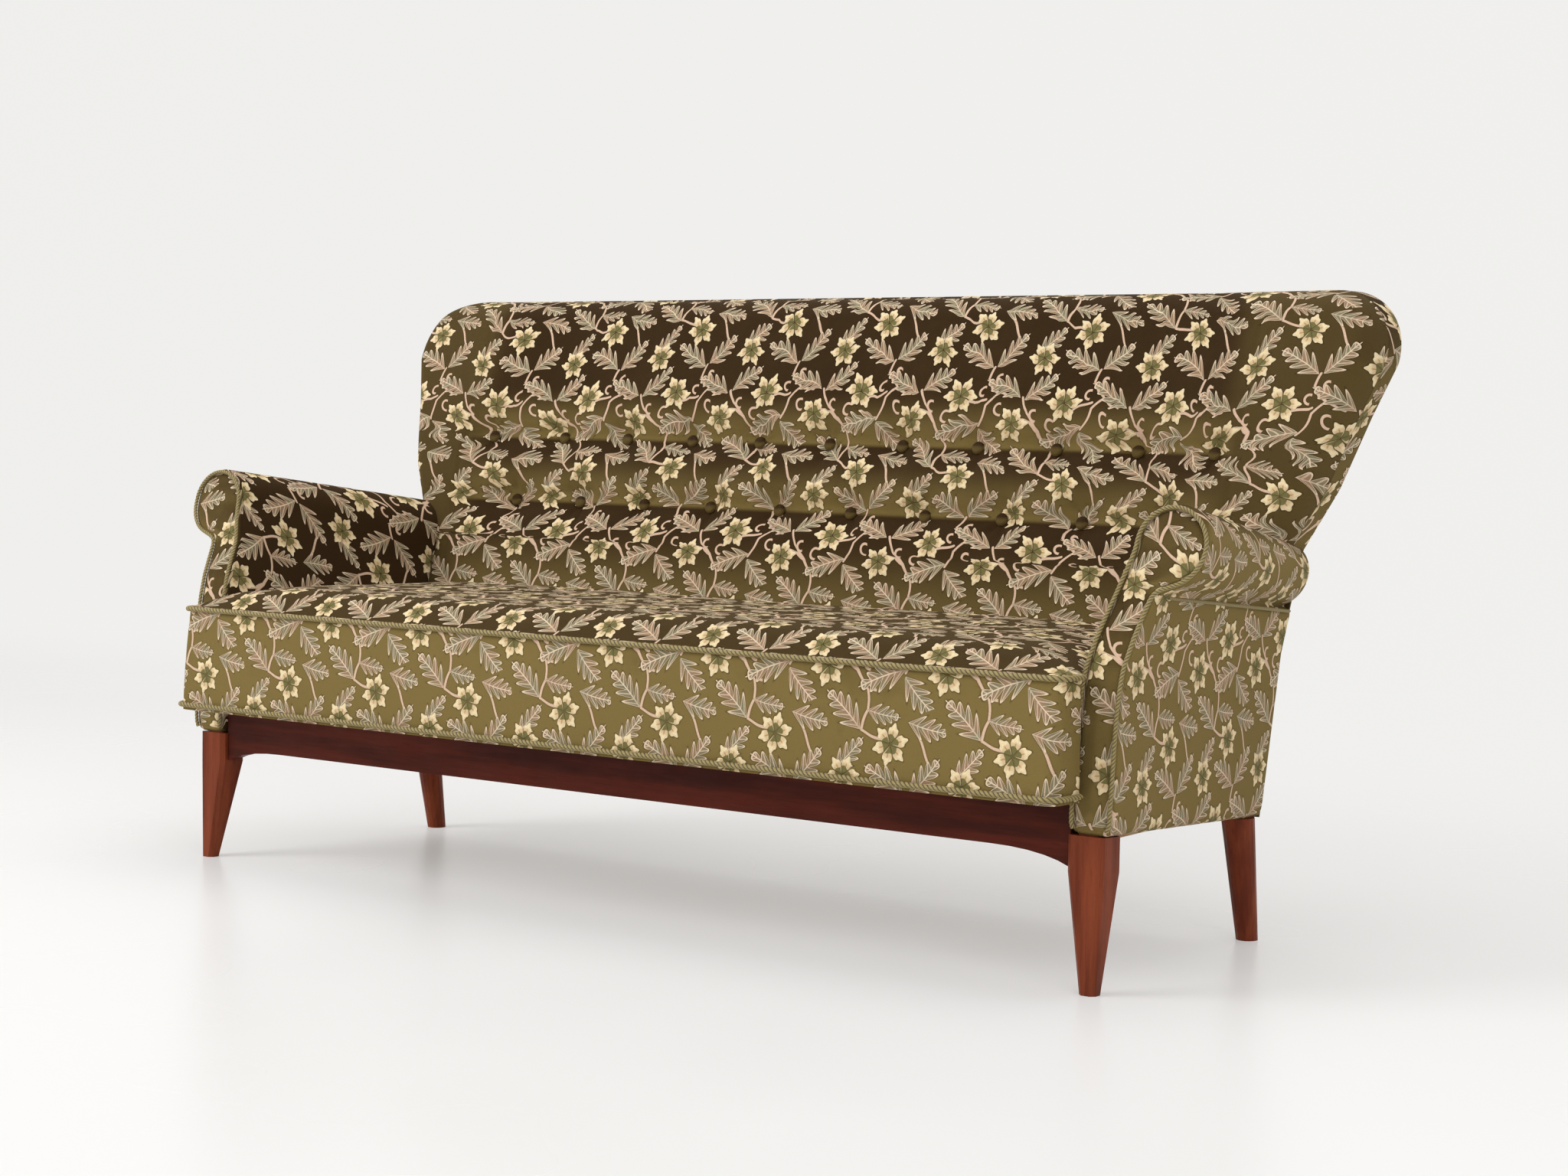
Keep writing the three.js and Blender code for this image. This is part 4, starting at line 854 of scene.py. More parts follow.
def back_front_y(x, z, from_side, from_top):
    full = np.ones_like(x)
    pucker = np.zeros_like(x)
    for bx, bz in button_places():
        away = np.hypot(bx - x, bz - z)
        full *= 1 - bell(away, TUFT_SPREAD)
        spokes = np.cos(PUCKERS * np.arctan2(z - bz, x - bx) + bx * PUCKER_TURN)
        pucker += spokes * bell(away - PUCKER_RADIUS, PUCKER_SPREAD)
    held = 1 - smooth((np.abs(x) - VALLEY_END) / VALLEY_FADE)
    for _, row_z in BUTTON_ROWS:
        full *= 1 - VALLEY_SHARE * held * bell(z - row_z, VALLEY_SPREAD)
    seam = bell(np.abs(x) - SEAM_X, SEAM_SPREAD) * smooth((z - SEAM_START) / SEAM_FADE)
    swell = BACK_PUFF * full - PUCKER_DEPTH * pucker - SEAM_DEPTH * seam + waver(x, z, *BACK_WAVER)
    surface = button_seat_y(x, z) - np.minimum(swell, BACK_PUFF)
    plane = rear_y(z) - PAD_PLANE - BACK_RIM
    return lerp(plane, surface, rounded(from_side / BACK_EDGE) * rounded(from_top / BACK_EDGE))


def crowded(count, crowding=EDGE_CROWDING):
    """Shares from -1 to 1 that lie closer together near both ends."""
    t = np.linspace(-1, 1, count)
    return lerp(t, np.sin(t * math.pi / 2), crowding)


def make_back_pad():
    share_x = crowded(BACK_COLUMNS)[None, :]
    share_z = crowded(BACK_ROWS * 2 - 1)[BACK_ROWS - 1:]
    row = (BACK_BOTTOM + (TOP_Z - BACK_BOTTOM) * share_z)[:, None]
    half = np.where(row > ROLL_REAR_Z, back_half(row) - GAP, PAD_EDGE_HALF)
    x = half * share_x
    z = row - TOP_DIP * above_buttons(row) * (1 - share_x**2)
    points = stacked(x, back_front_y(x, z, half - np.abs(x), TOP_Z - row), z)
    across = lengths_along(points)
    across = across - across[:, [BACK_COLUMNS // 2]]
    uv = stacked(lerp(x, across, BACK_EASE) + BACK_FIGURE[0], lengths_down(points) + BACK_FIGURE[1])
    build = Builder()
    build.grid(points, uv)
    front = rim_of(points)
    behind = stacked(front[:, 0], rear_y(front[:, 2]) - PAD_PLANE, front[:, 2])
    marks = rim_of(uv)
    first = build.grid(np.stack([closed(front), closed(behind)]), np.stack([closed(marks)] * 2), flip=True)
    build.cap([first + len(front) + 1 + k for k in range(len(front))], marks, flip=True)
    dress(build.piece("back_cover_front", VELVET_BACK, angle=60), ["back_pad"])


# Covered buttons
BUTTON_PROFILE = ((0.0, 1.05), (0.4, 1.0), (0.8, 0.8), (0.97, 0.5), (1.0, 0.3), (0.96, 0.1), (0.86, 0.0))
BUTTON_RISE = 0.0075
BUTTON_SIDES = 28
BUTTON_RINGS = 16
BUTTON_FIGURE = (0.02, 0.03)
BACK_RAKE = math.atan2(LINE_Y[2] - LINE_Y[1], LINE_Z[2] - LINE_Z[1])


def make_buttons():
    turn = np.array(Matrix.Rotation(math.pi / 2 - BACK_RAKE, 3, "X")).T
    profile = np.array(BUTTON_PROFILE) * (BUTTON_RADIUS, BUTTON_RISE)
    fine = np.linspace(0, len(profile) - 1, BUTTON_RINGS)
    radii, rises = (np.interp(fine, np.arange(len(profile)), part)[:, None] for part in profile.T)
    angles = np.linspace(0, 2 * math.pi, BUTTON_SIDES + 1)
    local = stacked(radii * np.cos(angles), radii * np.sin(angles), rises + GAP) @ turn
    for index, (bx, bz) in enumerate(button_places()):
        placed = local + np.array([bx, float(button_seat_y(bx, bz)), bz])
        uv = stacked(placed[..., 0] + BUTTON_FIGURE[0], placed[..., 2] + index * BUTTON_FIGURE[1])
        build = Builder()
        build.grid(placed, uv)
        piece = build.piece(f"covered_button_{index + 1}", VELVET_BUTTON, angle=80)
        dress(piece, [f"back_button_{index + 1}"])


# Outside back: one stretched cover round the sides, over the top and down to the hem
COVER_LEVELS = 60
COVER_CORNER_LEVELS = 18
COVER_EDGE = 0.012
COVER_ACROSS = 40
COVER_BEND = 6
COVER_STEP_Z = 0.470
COVER_STEP_RISE = 0.040
COVER_ROOF_FIGURE = 0.3


def cover_ring(z):
    """Closed outline of the outside back at height z."""
    half = float(back_half(z))
    rear = float(rear_y(z))
    deep = lerp(COVER_EDGE + GAP, PAD_PLANE - GAP, float(smooth((z - COVER_STEP_Z) / COVER_STEP_RISE)))
    bends = quarter(COVER_BEND)
    shares = [i / COVER_ACROSS for i in range(1, COVER_ACROSS)]
    flat = half - COVER_EDGE
    bent = rear - COVER_EDGE
    outline = [(-half, rear - deep)]
    outline += [(-flat - COVER_EDGE * math.cos(a), bent + COVER_EDGE * math.sin(a)) for a in bends]
    outline += [(lerp(-flat, flat, share), rear) for share in shares]
    outline += [(flat + COVER_EDGE * math.sin(a), bent + COVER_EDGE * math.cos(a)) for a in bends]
    outline += [(half, rear - deep)]
    outline += [(lerp(half, -half, share), rear - deep) for share in shares]
    dip = TOP_DIP * float(above_buttons(z))
    return closed(np.array([(x, y, z - dip * (1 - (x / half) ** 2)) for x, y in outline]))


def make_outside_back():
    corner_start = TOP_Z - CORNER_RADIUS
    levels = list(np.linspace(LINE_Z[0], corner_start, COVER_LEVELS))
    for angle in quarter(COVER_CORNER_LEVELS)[1:]:
        levels.append(lerp(corner_start, TOP_Z - GAP, math.sin(angle)))
    rings = np.array([cover_ring(z) for z in levels])
    run = lengths_along(rings)
    uv = stacked(run - run[:, [COVER_BEND + 1 + COVER_ACROSS // 2]], np.array(levels)[:, None])
    build = Builder()
    build.tube(rings, uv, True, (rings[0, :, :2], rings[-1, :, :2] + (0, COVER_ROOF_FIGURE)))
    dress(build.piece("outside_back_cover", VELVET_REAR, angle=50), ["back_outer_cover"])


# Seat: a crowned top and a bordered front that laps before the arms
SEAT_ROWS = 90
SEAT_ACROSS = 150
SEAT_LIP_ROWS = 8
SEAT_BORDER_LEVELS = 26
SEAT_CORNER_STEPS = 8
SEAT_CROWN = 0.034
SEAT_WAVER = (0.11, 0.0012)
BORDER_BULGE = 0.0035
BORDER_FIGURE = -0.3145
SEAT_FIGURE = (0.05, 0.155)
CROWN_Y_SHARES = (0.0, 0.05, 0.10, 0.15, 0.24, 0.86, 0.92, 0.97, 1.0)
CROWN_RISE_SHARES = (0.0, 0.60, 0.86, 0.96, 1.0, 1.0, 0.86, 0.66, 0.42)
CROWN_POWER = 14


def arm_sizes(t):
    """Sizes of the arm's section at share t of its length."""
    return {key: lerp(front, rear, t) for key, (front, rear) in ARM.items()}


def arm_inner_x(y, z):
    size = arm_sizes(np.clip((y - face_y(z)) / (arm_end(z) - face_y(z)), 0, 1))
    up = np.clip((z - size["bottom"]) / (size["waist"] - size["bottom"]), 0, 1)
    return lerp(size["inner"], size["waist_inner"], up)


def seat_lean(y, z):
    fade = np.clip((SEAT_FRONT + LIP_DEPTH - y) / (LIP_DEPTH - SEAT_CORNER), 0, 1)
    return SEAT_LEAN * fade * (np.minimum(z, SEAT_WELT) - SEAT_UNDER) / (SEAT_WELT - SEAT_UNDER)


def seat_rows():
    """Y and a half-width function for each row from the front face to the rear."""
    rows = []
    for i in range(SEAT_CORNER_STEPS + 1):
        angle = math.pi / 2 * (1 - i / SEAT_CORNER_STEPS)
        half = SEAT_HALF - SEAT_CORNER * (1 - math.cos(angle))
        rows.append((SEAT_FRONT + SEAT_CORNER * (1 - math.sin(angle)), lambda z, half=half: half))
    lip_back = SEAT_FRONT + LIP_DEPTH
    for y in np.linspace(SEAT_FRONT + SEAT_CORNER, lip_back, SEAT_LIP_ROWS)[1:]:
        rows.append((float(y), lambda z: SEAT_HALF))
    for y in np.linspace(lip_back + GAP, SEAT_REAR, SEAT_ROWS):
        rows.append((float(y), lambda z, y=float(y): float(arm_inner_x(y, z)) - SOFT_GAP))
    return rows


def make_seat():
    rows = seat_rows()
    share = crowded(SEAT_ACROSS)
    row_y = np.array([[row[0]] for row in rows])
    rise = np.interp((row_y - SEAT_FRONT) / (SEAT_REAR - SEAT_FRONT), CROWN_Y_SHARES, CROWN_RISE_SHARES)
    x = np.array([[half_of(SEAT_WELT)] for _, half_of in rows]) * share
    crown = SEAT_CROWN * rise * (1 - np.abs(share) ** CROWN_POWER)
    z = SEAT_WELT + crown + waver(x, row_y, *SEAT_WAVER) * (crown / SEAT_CROWN)
    top = stacked(x, row_y + seat_lean(row_y, z), z)
    build = Builder()
    build.grid(top, stacked(x + SEAT_FIGURE[0], lengths_down(top) + SEAT_FIGURE[1]))

    # The border runs forward along the left side, across the front and back along the right side
    path = [(j, -1.0) for j in range(len(rows) - 1, 0, -1)]
    path += [(0, float(s)) for s in share]
    path += [(j, 1.0) for j in range(1, len(rows))]
    heights = np.linspace(SEAT_UNDER, SEAT_WELT, SEAT_BORDER_LEVELS)
    border = []
    for level in heights:
        bulge = 4 * (level - SEAT_UNDER) * (SEAT_WELT - level) / (SEAT_WELT - SEAT_UNDER) ** 2
        spots = []
        for j, side in path:
            y, half_of = rows[j]
            fade = min(1.0, max(0.0, (SEAT_FRONT + SEAT_CORNER - y) / SEAT_CORNER))
            lean = float(seat_lean(y, level))
            spots.append((half_of(level) * side, y - BORDER_BULGE * bulge * fade + lean, level))
        border.append(spots)
    border = np.array(border)
    run = lengths_along(border[-1])
    first = build.grid(border, stacked(run - run[len(run) // 2], heights[:, None] + BORDER_FIGURE))
    build.cap(range(first, first + len(path)), border[0, :, :2], flip=True)
    left_ends = [first + j * len(path) for j in range(len(heights))]
    right_ends = [end + len(path) - 1 for end in left_ends]
    top_rear = [(len(rows) - 1) * SEAT_ACROSS + i for i in range(SEAT_ACROSS)]
    loop = left_ends + top_rear + right_ends[::-1]
    build.cap(loop, np.array(build.points)[loop][:, [0, 2]])
    dress(build.piece("seat_cover", VELVET_SEAT, angle=45), ["seat_pad"])


# Arms: a rolled cover swept from the scroll at the front to the back
ARM_STATIONS = 44
ARM_EDGE = 0.006
ARM_EDGE_STEPS = 5
ARM_ROLL_STEPS = 44
ARM_OUTER_STEPS = (6, 20, 12, 4)  # under the arm, to the waist, to the neck, to the roll
ARM_INNER_STEPS = (6, 10, 18)  # to the neck, to the waist, to the bottom
ARM_SMOOTHING = 2
ARM_FIGURE = (0.03, 0.07)


def chain(corners, steps):
    """Points along a chain of corners, without its last corner."""
    points = []
    for start, end, count in zip(corners, corners[1:], steps):
        shares = [i / count for i in range(count)]
        points += [(lerp(start[0], end[0], share), lerp(start[1], end[1], share)) for share in shares]
    return points


def softened(ring):
    return (np.roll(ring, 1, axis=0) + 2 * ring + np.roll(ring, -1, axis=0)) / 4


def arm_section(t, grow=0.0):
    """Closed section of the right arm at share t of its length, as X and Z."""
    size = arm_sizes(t)
    angles = np.linspace(ROLL_START, ROLL_END, ARM_ROLL_STEPS + 1)
    roll = np.array([size["roll_x"], size["roll_z"]])
    roll = roll + (size["roll"] + grow) * stacked(np.cos(angles), np.sin(angles))
    bottom = size["bottom"] - grow
    outer = [
        (size["inner"] - grow, bottom),
        (size["outer"] + grow, bottom),
        (size["waist_outer"] + grow, size["waist"]),
        (size["neck_outer"] + grow, size["neck"] - grow),
        roll[0],
    ]
    inner = [
        roll[-1],
        (size["neck_inner"] - grow, size["neck"]),
        (size["waist_inner"] - grow, size["waist"]),
        outer[0],
    ]
    ring = np.array(chain(outer, ARM_OUTER_STEPS) + list(roll[:-1]) + chain(inner, ARM_INNER_STEPS))
    for _ in range(ARM_SMOOTHING):
        ring = softened(ring)
    return ring


def make_arm(name, side):
    base = arm_section(0, -PANEL_INSET - PANEL_THICKNESS)
    rings = [stacked(base[:, 0], face_y(base[:, 1]), base[:, 1])]
    for angle in quarter(ARM_EDGE_STEPS):
        x, z = arm_section(0, -ARM_EDGE * (1 - math.sin(angle))).T
        rings.append(stacked(x, face_y(z) + ARM_EDGE * (1 - math.cos(angle)), z))
    for i in range(1, ARM_STATIONS + 1):
        t = i / ARM_STATIONS
        x, z = arm_section(t).T
        rings.append(stacked(x, lerp(face_y(z) + ARM_EDGE, arm_end(z), t), z))
    grid = np.array([closed(ring) for ring in rings])
    uv = stacked(grid[..., 1] + ARM_FIGURE[0], lengths_along(grid) + ARM_FIGURE[1])
    grid[..., 0] *= side
    build = Builder()
    build.tube(grid, uv, side < 0, (grid[0][:, [0, 2]], grid[-1][:, [0, 2]]))
    piece = build.piece(f"arm_cover_{name}", VELVET_ARM, angle=45)
    dress(piece, [f"arm_pad_{name}"])


# Front panels of the arms
PANEL_ROWS = 90
PANEL_COLUMNS = 26
PANEL_CROWN = 0.0035
PANEL_CROWN_REACH = 0.03
PANEL_EDGE = 0.008
PANEL_CROWDING = 0.55
PANEL_FIGURE = (0.01, 0.11)


def make_arm_panel(name, side):
    outline = arm_section(0, -PANEL_INSET)
    low = float(outline[:, 1].min())
    high = float(outline[:, 1].max())
    z = lerp(low, high, (crowded(PANEL_ROWS, PANEL_CROWDING) + 1) / 2)[:, None]
    top = int(np.argmax(outline[:, 1]))
    sides = []
    for half in (outline[ARM_OUTER_STEPS[0]:top + 1], np.vstack([outline[top:], outline[:1]])[::-1]):
        order = np.argsort(half[:, 1])
        sides.append(np.interp(z, half[order, 1], half[order, 0]))
    x_outer, x_inner = sides
    x = lerp(x_inner, x_outer, (np.sin(np.linspace(-1, 1, PANEL_COLUMNS) * math.pi / 2) + 1) / 2)
    from_edge = np.minimum(np.minimum(x - x_inner, x_outer - x), np.minimum(z - low, high - z))
    lift = (PANEL_THICKNESS - PANEL_CROWN) * rounded(from_edge / PANEL_EDGE)
    lift = lift + PANEL_CROWN * smooth(from_edge / PANEL_CROWN_REACH)
    points = stacked(x, face_y(z) - GAP - lift, z)
    uv = stacked(x * side + PANEL_FIGURE[0], lengths_down(points) + PANEL_FIGURE[1])
    build = Builder()
    build.grid(points * (side, 1, 1), uv, side < 0)
    build.grid(stacked(x * side, face_y(z) - GAP / 2, z), uv, side > 0)
    piece = build.piece(f"arm_front_cover_{name}", VELVET_FACE, angle=60)
    dress(piece, [f"arm_front_panel_{name}"])


# Twisted cords
ROPE_STEP = 0.0014
ROPE_SIDES = 12
ROPE_STRANDS = 3
ROPE_TWIST_SHARE = 5.2  # length of one full twist, in radii of the cord
ROPE_GROOVE = 0.32
ROPE_SMOOTHING = 2
SEAT_CORD_BEND_STEPS = 13
SIDE_CORD_STEPS = 41
SIDE_CORD_START = 3
SIDE_CORD_SHARES = {"radius": 0.8, "out": 0.9, "down": 0.4}  # of the welt's radius
UPWARD = np.array((0.0, 0.0, 1.0))
FORWARD = np.array((0.0, -1.0, 0.0))


def make_rope(name, route, radius, across, nodes=()):
    points, run = resampled(route, ROPE_STEP)
    for _ in range(ROPE_SMOOTHING):
        points[1:-1] = (points[:-2] + 2 * points[1:-1] + points[2:]) / 4
    ahead = np.gradient(points, axis=0)
    ahead /= np.linalg.norm(ahead, axis=1)[:, None]
    first = np.cross(across, ahead)
    first /= np.linalg.norm(first, axis=1)[:, None]
    second = np.cross(ahead, first)
    angles = np.linspace(0, 2 * math.pi, ROPE_SIDES + 1)
    twist = run[:, None] / (radius * ROPE_TWIST_SHARE)
    strand = ROPE_STRANDS * (angles / (2 * math.pi) - twist)
    reach = radius * (1 - ROPE_GROOVE + ROPE_GROOVE * np.abs(np.cos(math.pi * strand)))
    around = first[:, None, :] * np.cos(angles)[:, None] + second[:, None, :] * np.sin(angles)[:, None]
    build = Builder()
    build.tube(points[:, None, :] + around * reach[..., None], stacked(strand, run[:, None]))
    dress(build.piece(name, ROPE, angle=80), nodes)


def seat_welt_route(z):
    reach = SEAT_WELT_RADIUS + GAP
    bend = SEAT_CORNER + reach
    half = [
        (SEAT_HALF + reach, SEAT_FRONT + LIP_DEPTH - SEAT_WELT_RADIUS),
        (SEAT_HALF + reach, SEAT_FRONT + SEAT_CORNER * 2),
    ]
    for angle in np.linspace(0, math.pi / 2, SEAT_CORD_BEND_STEPS):
        half.append((
            SEAT_HALF - SEAT_CORNER + bend * math.cos(angle),
            SEAT_FRONT + SEAT_CORNER - bend * math.sin(angle),
        ))
    whole = half + [(-x, y) for x, y in reversed(half)]
    return [(x, y + float(seat_lean(y, z)), z) for x, y in whole]


def arm_face_route(side):
    outline = arm_section(0, -ARM_WELT_RADIUS - GAP)
    x, z = np.vstack([outline[ARM_OUTER_STEPS[0]:], outline[:1]]).T
    return stacked(x * side, face_y(z) - ARM_WELT_RADIUS - GAP * 3, z)


def arm_side_route(side):
    """Along the fold below the roll, on the arm's outer side."""
    points = []
    for i in range(SIDE_CORD_START, SIDE_CORD_STEPS):
        t = i / SIDE_CORD_STEPS
        size = arm_sizes(t)
        x = size["neck_outer"] + ARM_WELT_RADIUS * SIDE_CORD_SHARES["out"]
        z = size["neck"] - ARM_WELT_RADIUS * SIDE_CORD_SHARES["down"]
        points.append((x * side, float(lerp(face_y(z), arm_end(z), t)), z))
    return points


def make_welts():
    for name, z in (("top", SEAT_WELT - SEAT_WELT_RADIUS), ("bottom", SEAT_UNDER + SEAT_WELT_RADIUS * 2)):
        make_rope(f"seat_{name}_cord", seat_welt_route(z), SEAT_WELT_RADIUS, UPWARD, [f"seat_{name}_welt"])
    thin = ARM_WELT_RADIUS * SIDE_CORD_SHARES["radius"]
    for name, side in SIDES:
        welt = [f"arm_welt_{name}"]
        make_rope(f"arm_face_cord_{name}", arm_face_route(side), ARM_WELT_RADIUS, FORWARD, welt)
        make_rope(f"arm_side_cord_{name}", arm_side_route(side), thin, UPWARD)


# Sheets: the lining under the seat's front edge and the canvas over the springs
LINING_SPANS = ((-0.767, 0.767), (-0.073, 0.0027))  # in X, in Y
LINING_STEPS = (120, 14)
LINING_SAG = 0.0018
LINING_SAG_SHARES = (0.7, 0.3)
LINING_SAG_RATE = 38
CANVAS_SPANS = ((-0.6817, 0.6817), (0.0343, 0.3807))
CANVAS_STEPS = (140, 40)
CANVAS_Z = 0.3140
CANVAS_DENT = 0.0005
CANVAS_WAVES = 7


def share_in(value, span):
    return (value - span[0]) / (span[1] - span[0])


def lining_z(x, y):
    slack = LINING_SAG_SHARES[0] + LINING_SAG_SHARES[1] * np.sin(x * LINING_SAG_RATE)
    return SEAT_UNDER - GAP * 2 - LINING_SAG * np.sin(math.pi * share_in(y, LINING_SPANS[1])) * slack


def canvas_z(x, y):
    return CANVAS_Z + CANVAS_DENT * np.cos(2 * math.pi * CANVAS_WAVES * share_in(x, CANVAS_SPANS[0]))


def make_sheet(name, node, look, spans, steps, z_at, flip=False):
    x = np.linspace(*spans[0], steps[0])[None, :]
    y = np.linspace(*spans[1], steps[1])[:, None]
    build = Builder()
    build.grid(stacked(x, y, z_at(x, y)), stacked(x, y), flip)
    piece = build.piece(name, look, angle=60)
    dress(piece, [node])


# Webbing of the seat and the back, woven over and under
BAND_HALF = 0.0275
BAND_THICKNESS = 0.0009
BAND_LIFT = 0.0005
BAND_STEPS = 90
BAND_RING = ((-1, -1), (1, -1), (1, 1), (-1, 1), (-1, -1))
BAND_CROSSING = 1.7  # above 1, a band runs level over the band that it crosses
SEAT_NET = {"half": 0.7414, "low": 0.0034, "high": 0.4570, "columns": 10, "rows": 4, "plane": 0.2373}
BACK_NET = {"half": 0.7322, "low": 0.4005, "high": 0.8498, "columns": 9, "rows": 3, "plane": 0.0476}


def band(build, run, lift, place, flip):
    """One flat band along run. Place turns a spot along it, beside it and above the net into a point."""
    beside = np.array([side * BAND_HALF for side, _ in BAND_RING])
    above = [up * BAND_THICKNESS / 2 for _, up in BAND_RING]
    grid = np.array([[place(r, s, h + up) for s, up in zip(beside, above)] for r, h in zip(run, lift)])
    build.tube(grid, stacked(beside, run[:, None]), flip)


def woven_lift(run, crossings, sign):
    turns = [sign * (-1) ** k for k in range(len(crossings))]
    return BAND_LIFT * np.clip(BAND_CROSSING * np.interp(run, crossings, turns), -1, 1)


def make_net(name, node, net, point):
    columns = np.linspace(-net["half"] + BAND_HALF, net["half"] - BAND_HALF, net["columns"])
    rows = np.linspace(net["low"] + BAND_HALF, net["high"] - BAND_HALF, net["rows"])
    along = np.linspace(-net["half"], net["half"], BAND_STEPS)
    deep = np.linspace(net["low"], net["high"], BAND_STEPS)
    build = Builder()
    for k, middle in enumerate(columns):
        lift = woven_lift(deep, rows, (-1) ** k)
        band(build, deep, lift, lambda r, s, h, middle=middle: point(middle + s, r, h), True)
    for k, middle in enumerate(rows):
        lift = woven_lift(along, columns, -((-1) ** k))
        band(build, along, lift, lambda r, s, h, middle=middle: point(r, middle + s, h), False)
    dress(build.piece(name, JUTE, angle=40), [node])


make_back_pad()
make_buttons()
make_outside_back()
make_seat()
for arm_name, arm_side in SIDES:
    make_arm(arm_name, arm_side)
    make_arm_panel(arm_name, arm_side)
make_welts()
make_sheet(
    "front_lining", "seat_dust_cover", LINING, LINING_SPANS, LINING_STEPS, lining_z,
    flip=True,
)
make_net("seat_web_bands", "seat_webbing", SEAT_NET, lambda x, y, h: (x, y, SEAT_NET["plane"] + h))
make_net(
    "back_web_bands", "back_webbing", BACK_NET, lambda x, z, h: (x, rear_y(z) - BACK_NET["plane"] - h, z)
)
make_sheet(
    "spring_canvas_sheet", "spring_canvas", JUTE, CANVAS_SPANS, CANVAS_STEPS, canvas_z,
)

# Carried-over nodes
NODE_LOOKS = (
    (WOOD, ("front_leg", "rear_leg")),
    (APRON_WOOD_SHADED, ("front_apron",)),
    (FRAME_WOOD_Y, ("side_seat_rail", "seat_bearer", "arm_top_rail")),
    (FRAME_WOOD_X, ("rear_seat_rail", "front_corner", "rear_corner", "seat_lip", "back_top", "back_lower")),
    (STEEL, ("seat_spring",)),
)  # look, and how the names of its nodes start
ROUNDED_NODES = ("front_leg", "rear_leg", "front_apron")
EDGE_BEVEL = 0.0018
BEVEL_SEGMENTS = 3
BEVEL_ANGLE = math.radians(30)

for node_name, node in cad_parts.items():
    for node_look, starts in NODE_LOOKS:
        if node_name.startswith(starts):
            for holder in node.material_slots:
                holder.link = "OBJECT"
                holder.material = node_look
    if node_name.startswith(ROUNDED_NODES):
        bevel = node.modifiers.new("soft_edges", "BEVEL")
        bevel.width = EDGE_BEVEL
        bevel.segments = BEVEL_SEGMENTS
        bevel.limit_method = "ANGLE"
        bevel.angle_limit = BEVEL_ANGLE
        bevel.harden_normals = True

# Floor and backdrop in one sweep, glowing with the backdrop's tone where seen: fully away from the object,
# and in part near it as painted light over its shadow
FLOOR_HALF = 9.0
FLOOR_WIDTH_SHARE = 1.4
SWEEP_START = 3.4
SWEEP_RADIUS = 2.2
SWEEP_TOP = 7.0
SWEEP_STEPS = 24
FLOOR_TONE = colour(239, 238, 237)
FLOOR_SHADE = colour(233, 232, 231)
FLOOR_FAINT = (1.2, 2.0)
FLOOR_FAINT_SHARE = 0.10
FLOOR_ROUGHNESS = (0.3, 0.7, 0.26, 0.34)
FLOOR_SPECULAR = 0.28
BACKDROP_TONE = colour(241, 240, 238)
WASH_NEAR = 0.2
WASH_FAR = 2.6
# Share of the glow near the object, painted light over its shadow
WASH_LEAST = 0.32
WASH_ROUND_NEAR = 2.6
WASH_ROUND_FAR = 6.0
WASH_SHARE = 0.96


def seen_share(n, kinds):
    """1 where the camera sees the surface, straight or by the other kinds of ray named."""
    rays = n.node("ShaderNodeLightPath")
    seen = Value(n, rays.outputs["Is Camera Ray"])
    for kind in kinds:
        seen = n.most(seen, Value(n, rays.outputs[kind]))
    return seen


def make_stage():
    profile = [(-FLOOR_HALF, 0.0), (SWEEP_START, 0.0)]
    for angle in quarter(SWEEP_STEPS)[1:]:
        profile.append((SWEEP_START + SWEEP_RADIUS * math.sin(angle), SWEEP_RADIUS * (1 - math.cos(angle))))
    profile.append((SWEEP_START + SWEEP_RADIUS, SWEEP_TOP))
    half = FLOOR_HALF * FLOOR_WIDTH_SHARE
    rows = np.array([[(x, y + MIDDLE_Y, z) for y, z in profile] for x in (half, -half)])
    look, n, shader = new_look("studio_floor")
    place = n.object_place()
    faint = n.noise(place, *FLOOR_FAINT)
    _, deep, high = n.split(place)
    away = n.most(n.range(deep, WASH_NEAR, WASH_FAR, WASH_LEAST), n.range(high, 0.0, SWEEP_RADIUS))
    away = n.most(away, n.range(n.vector("LENGTH", place), WASH_ROUND_NEAR, WASH_ROUND_FAR))
    wash = seen_share(n, ("Is Glossy Ray",)) * away * WASH_SHARE
    glow = n.value("ShaderNodeEmission", {"Color": BACKDROP_TONE, "Strength": 1.0})
    blend = n.value("ShaderNodeMixShader", (wash, Value(n, shader.outputs[0]), glow))
    output = next(node for node in n.tree.nodes if node.type == "OUTPUT_MATERIAL")
    n.feed(output, 0, blend)
    n.fill(shader, {
        "Base Color": n.mix(faint * FLOOR_FAINT_SHARE, FLOOR_TONE, FLOOR_SHADE),
        "Roughness": n.range(faint, *FLOOR_ROUGHNESS),
        "Specular IOR Level": FLOOR_SPECULAR,
    })
    build = Builder()
    build.grid(rows, rows[..., :2])
    build.piece("studio_sweep", look, angle=60)


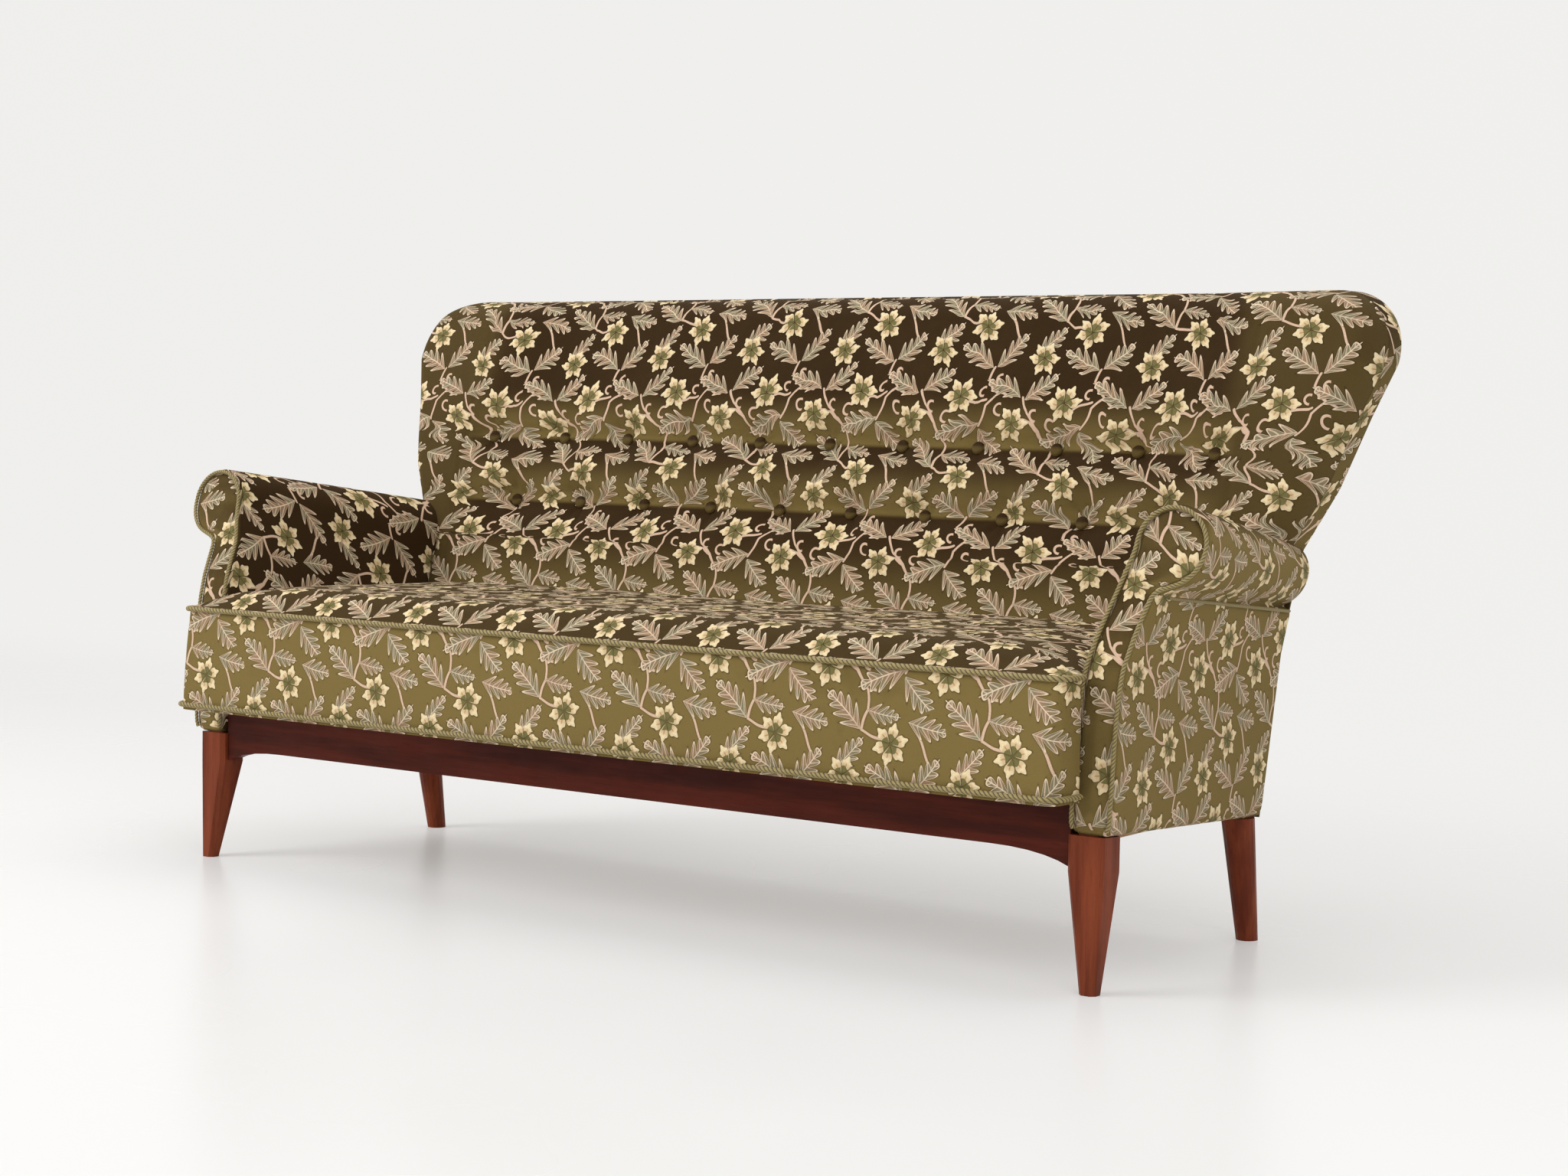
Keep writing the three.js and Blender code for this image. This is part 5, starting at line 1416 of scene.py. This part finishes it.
# Light: a plain world and soft lamps
WORLD_STRENGTH = 0.62
WORLD_TONE = (1.0, 1.0, 1.0, 1.0)
LAMP_AIM = Vector((0.0, 0.0, 0.45))
LAMPS = (
    ("key_lamp", (-2.6, -3.4, 3.2), 2.4, 120.0),
    ("fill_lamp", (3.6, -2.6, 2.2), 2.6, 46.0),
    ("top_lamp", (0.4, 0.6, 4.2), 3.0, 50.0),
)  # name, place, side, watts


def make_world():
    world = bpy.data.worlds.new("studio")
    bpy.context.scene.world = world
    n = emptied(world)
    seen = seen_share(n, ("Is Glossy Ray", "Is Transmission Ray"))
    tone = n.mix(seen, WORLD_TONE, BACKDROP_TONE)
    strength = n.mix(seen, WORLD_STRENGTH, 1.0, "FLOAT")
    light = n.value("ShaderNodeBackground", {"Color": tone, "Strength": strength})
    n.node("ShaderNodeOutputWorld", (light,))


def make_lamps():
    for name, spot, side, watts in LAMPS:
        data = bpy.data.lights.new(name, "AREA")
        data.shape = "SQUARE"
        data.size = side
        data.energy = watts
        lamp = placed(name, data)
        lamp.location = spot
        lamp.rotation_euler = (LAMP_AIM - Vector(spot)).to_track_quat("-Z", "Y").to_euler()


# Camera, from the fit of the photograph
CAMERA_PLACE = Vector((2.5677, -3.2766, 0.7015))
CAMERA_YAW = 0.6462692513
CAMERA_PITCH = 0.0598727038
CAMERA_ROLL = 0.0175752468
CAMERA_LENS = 64.94
CAMERA_SENSOR = 36.0


def make_camera():
    data = bpy.data.cameras.new("photo_camera")
    data.sensor_fit = "HORIZONTAL"
    data.sensor_width = CAMERA_SENSOR
    data.lens = CAMERA_LENS
    turn = Matrix.Rotation(CAMERA_YAW, 4, "Z") @ Matrix.Rotation(math.pi / 2 - CAMERA_PITCH, 4, "X")
    camera = placed("photo_camera", data)
    camera.matrix_world = Matrix.Translation(CAMERA_PLACE) @ turn @ Matrix.Rotation(CAMERA_ROLL, 4, "Z")
    bpy.context.scene.camera = camera


make_stage()
make_world()
make_lamps()
make_camera()
bpy.context.scene.view_settings.view_transform = "Standard"
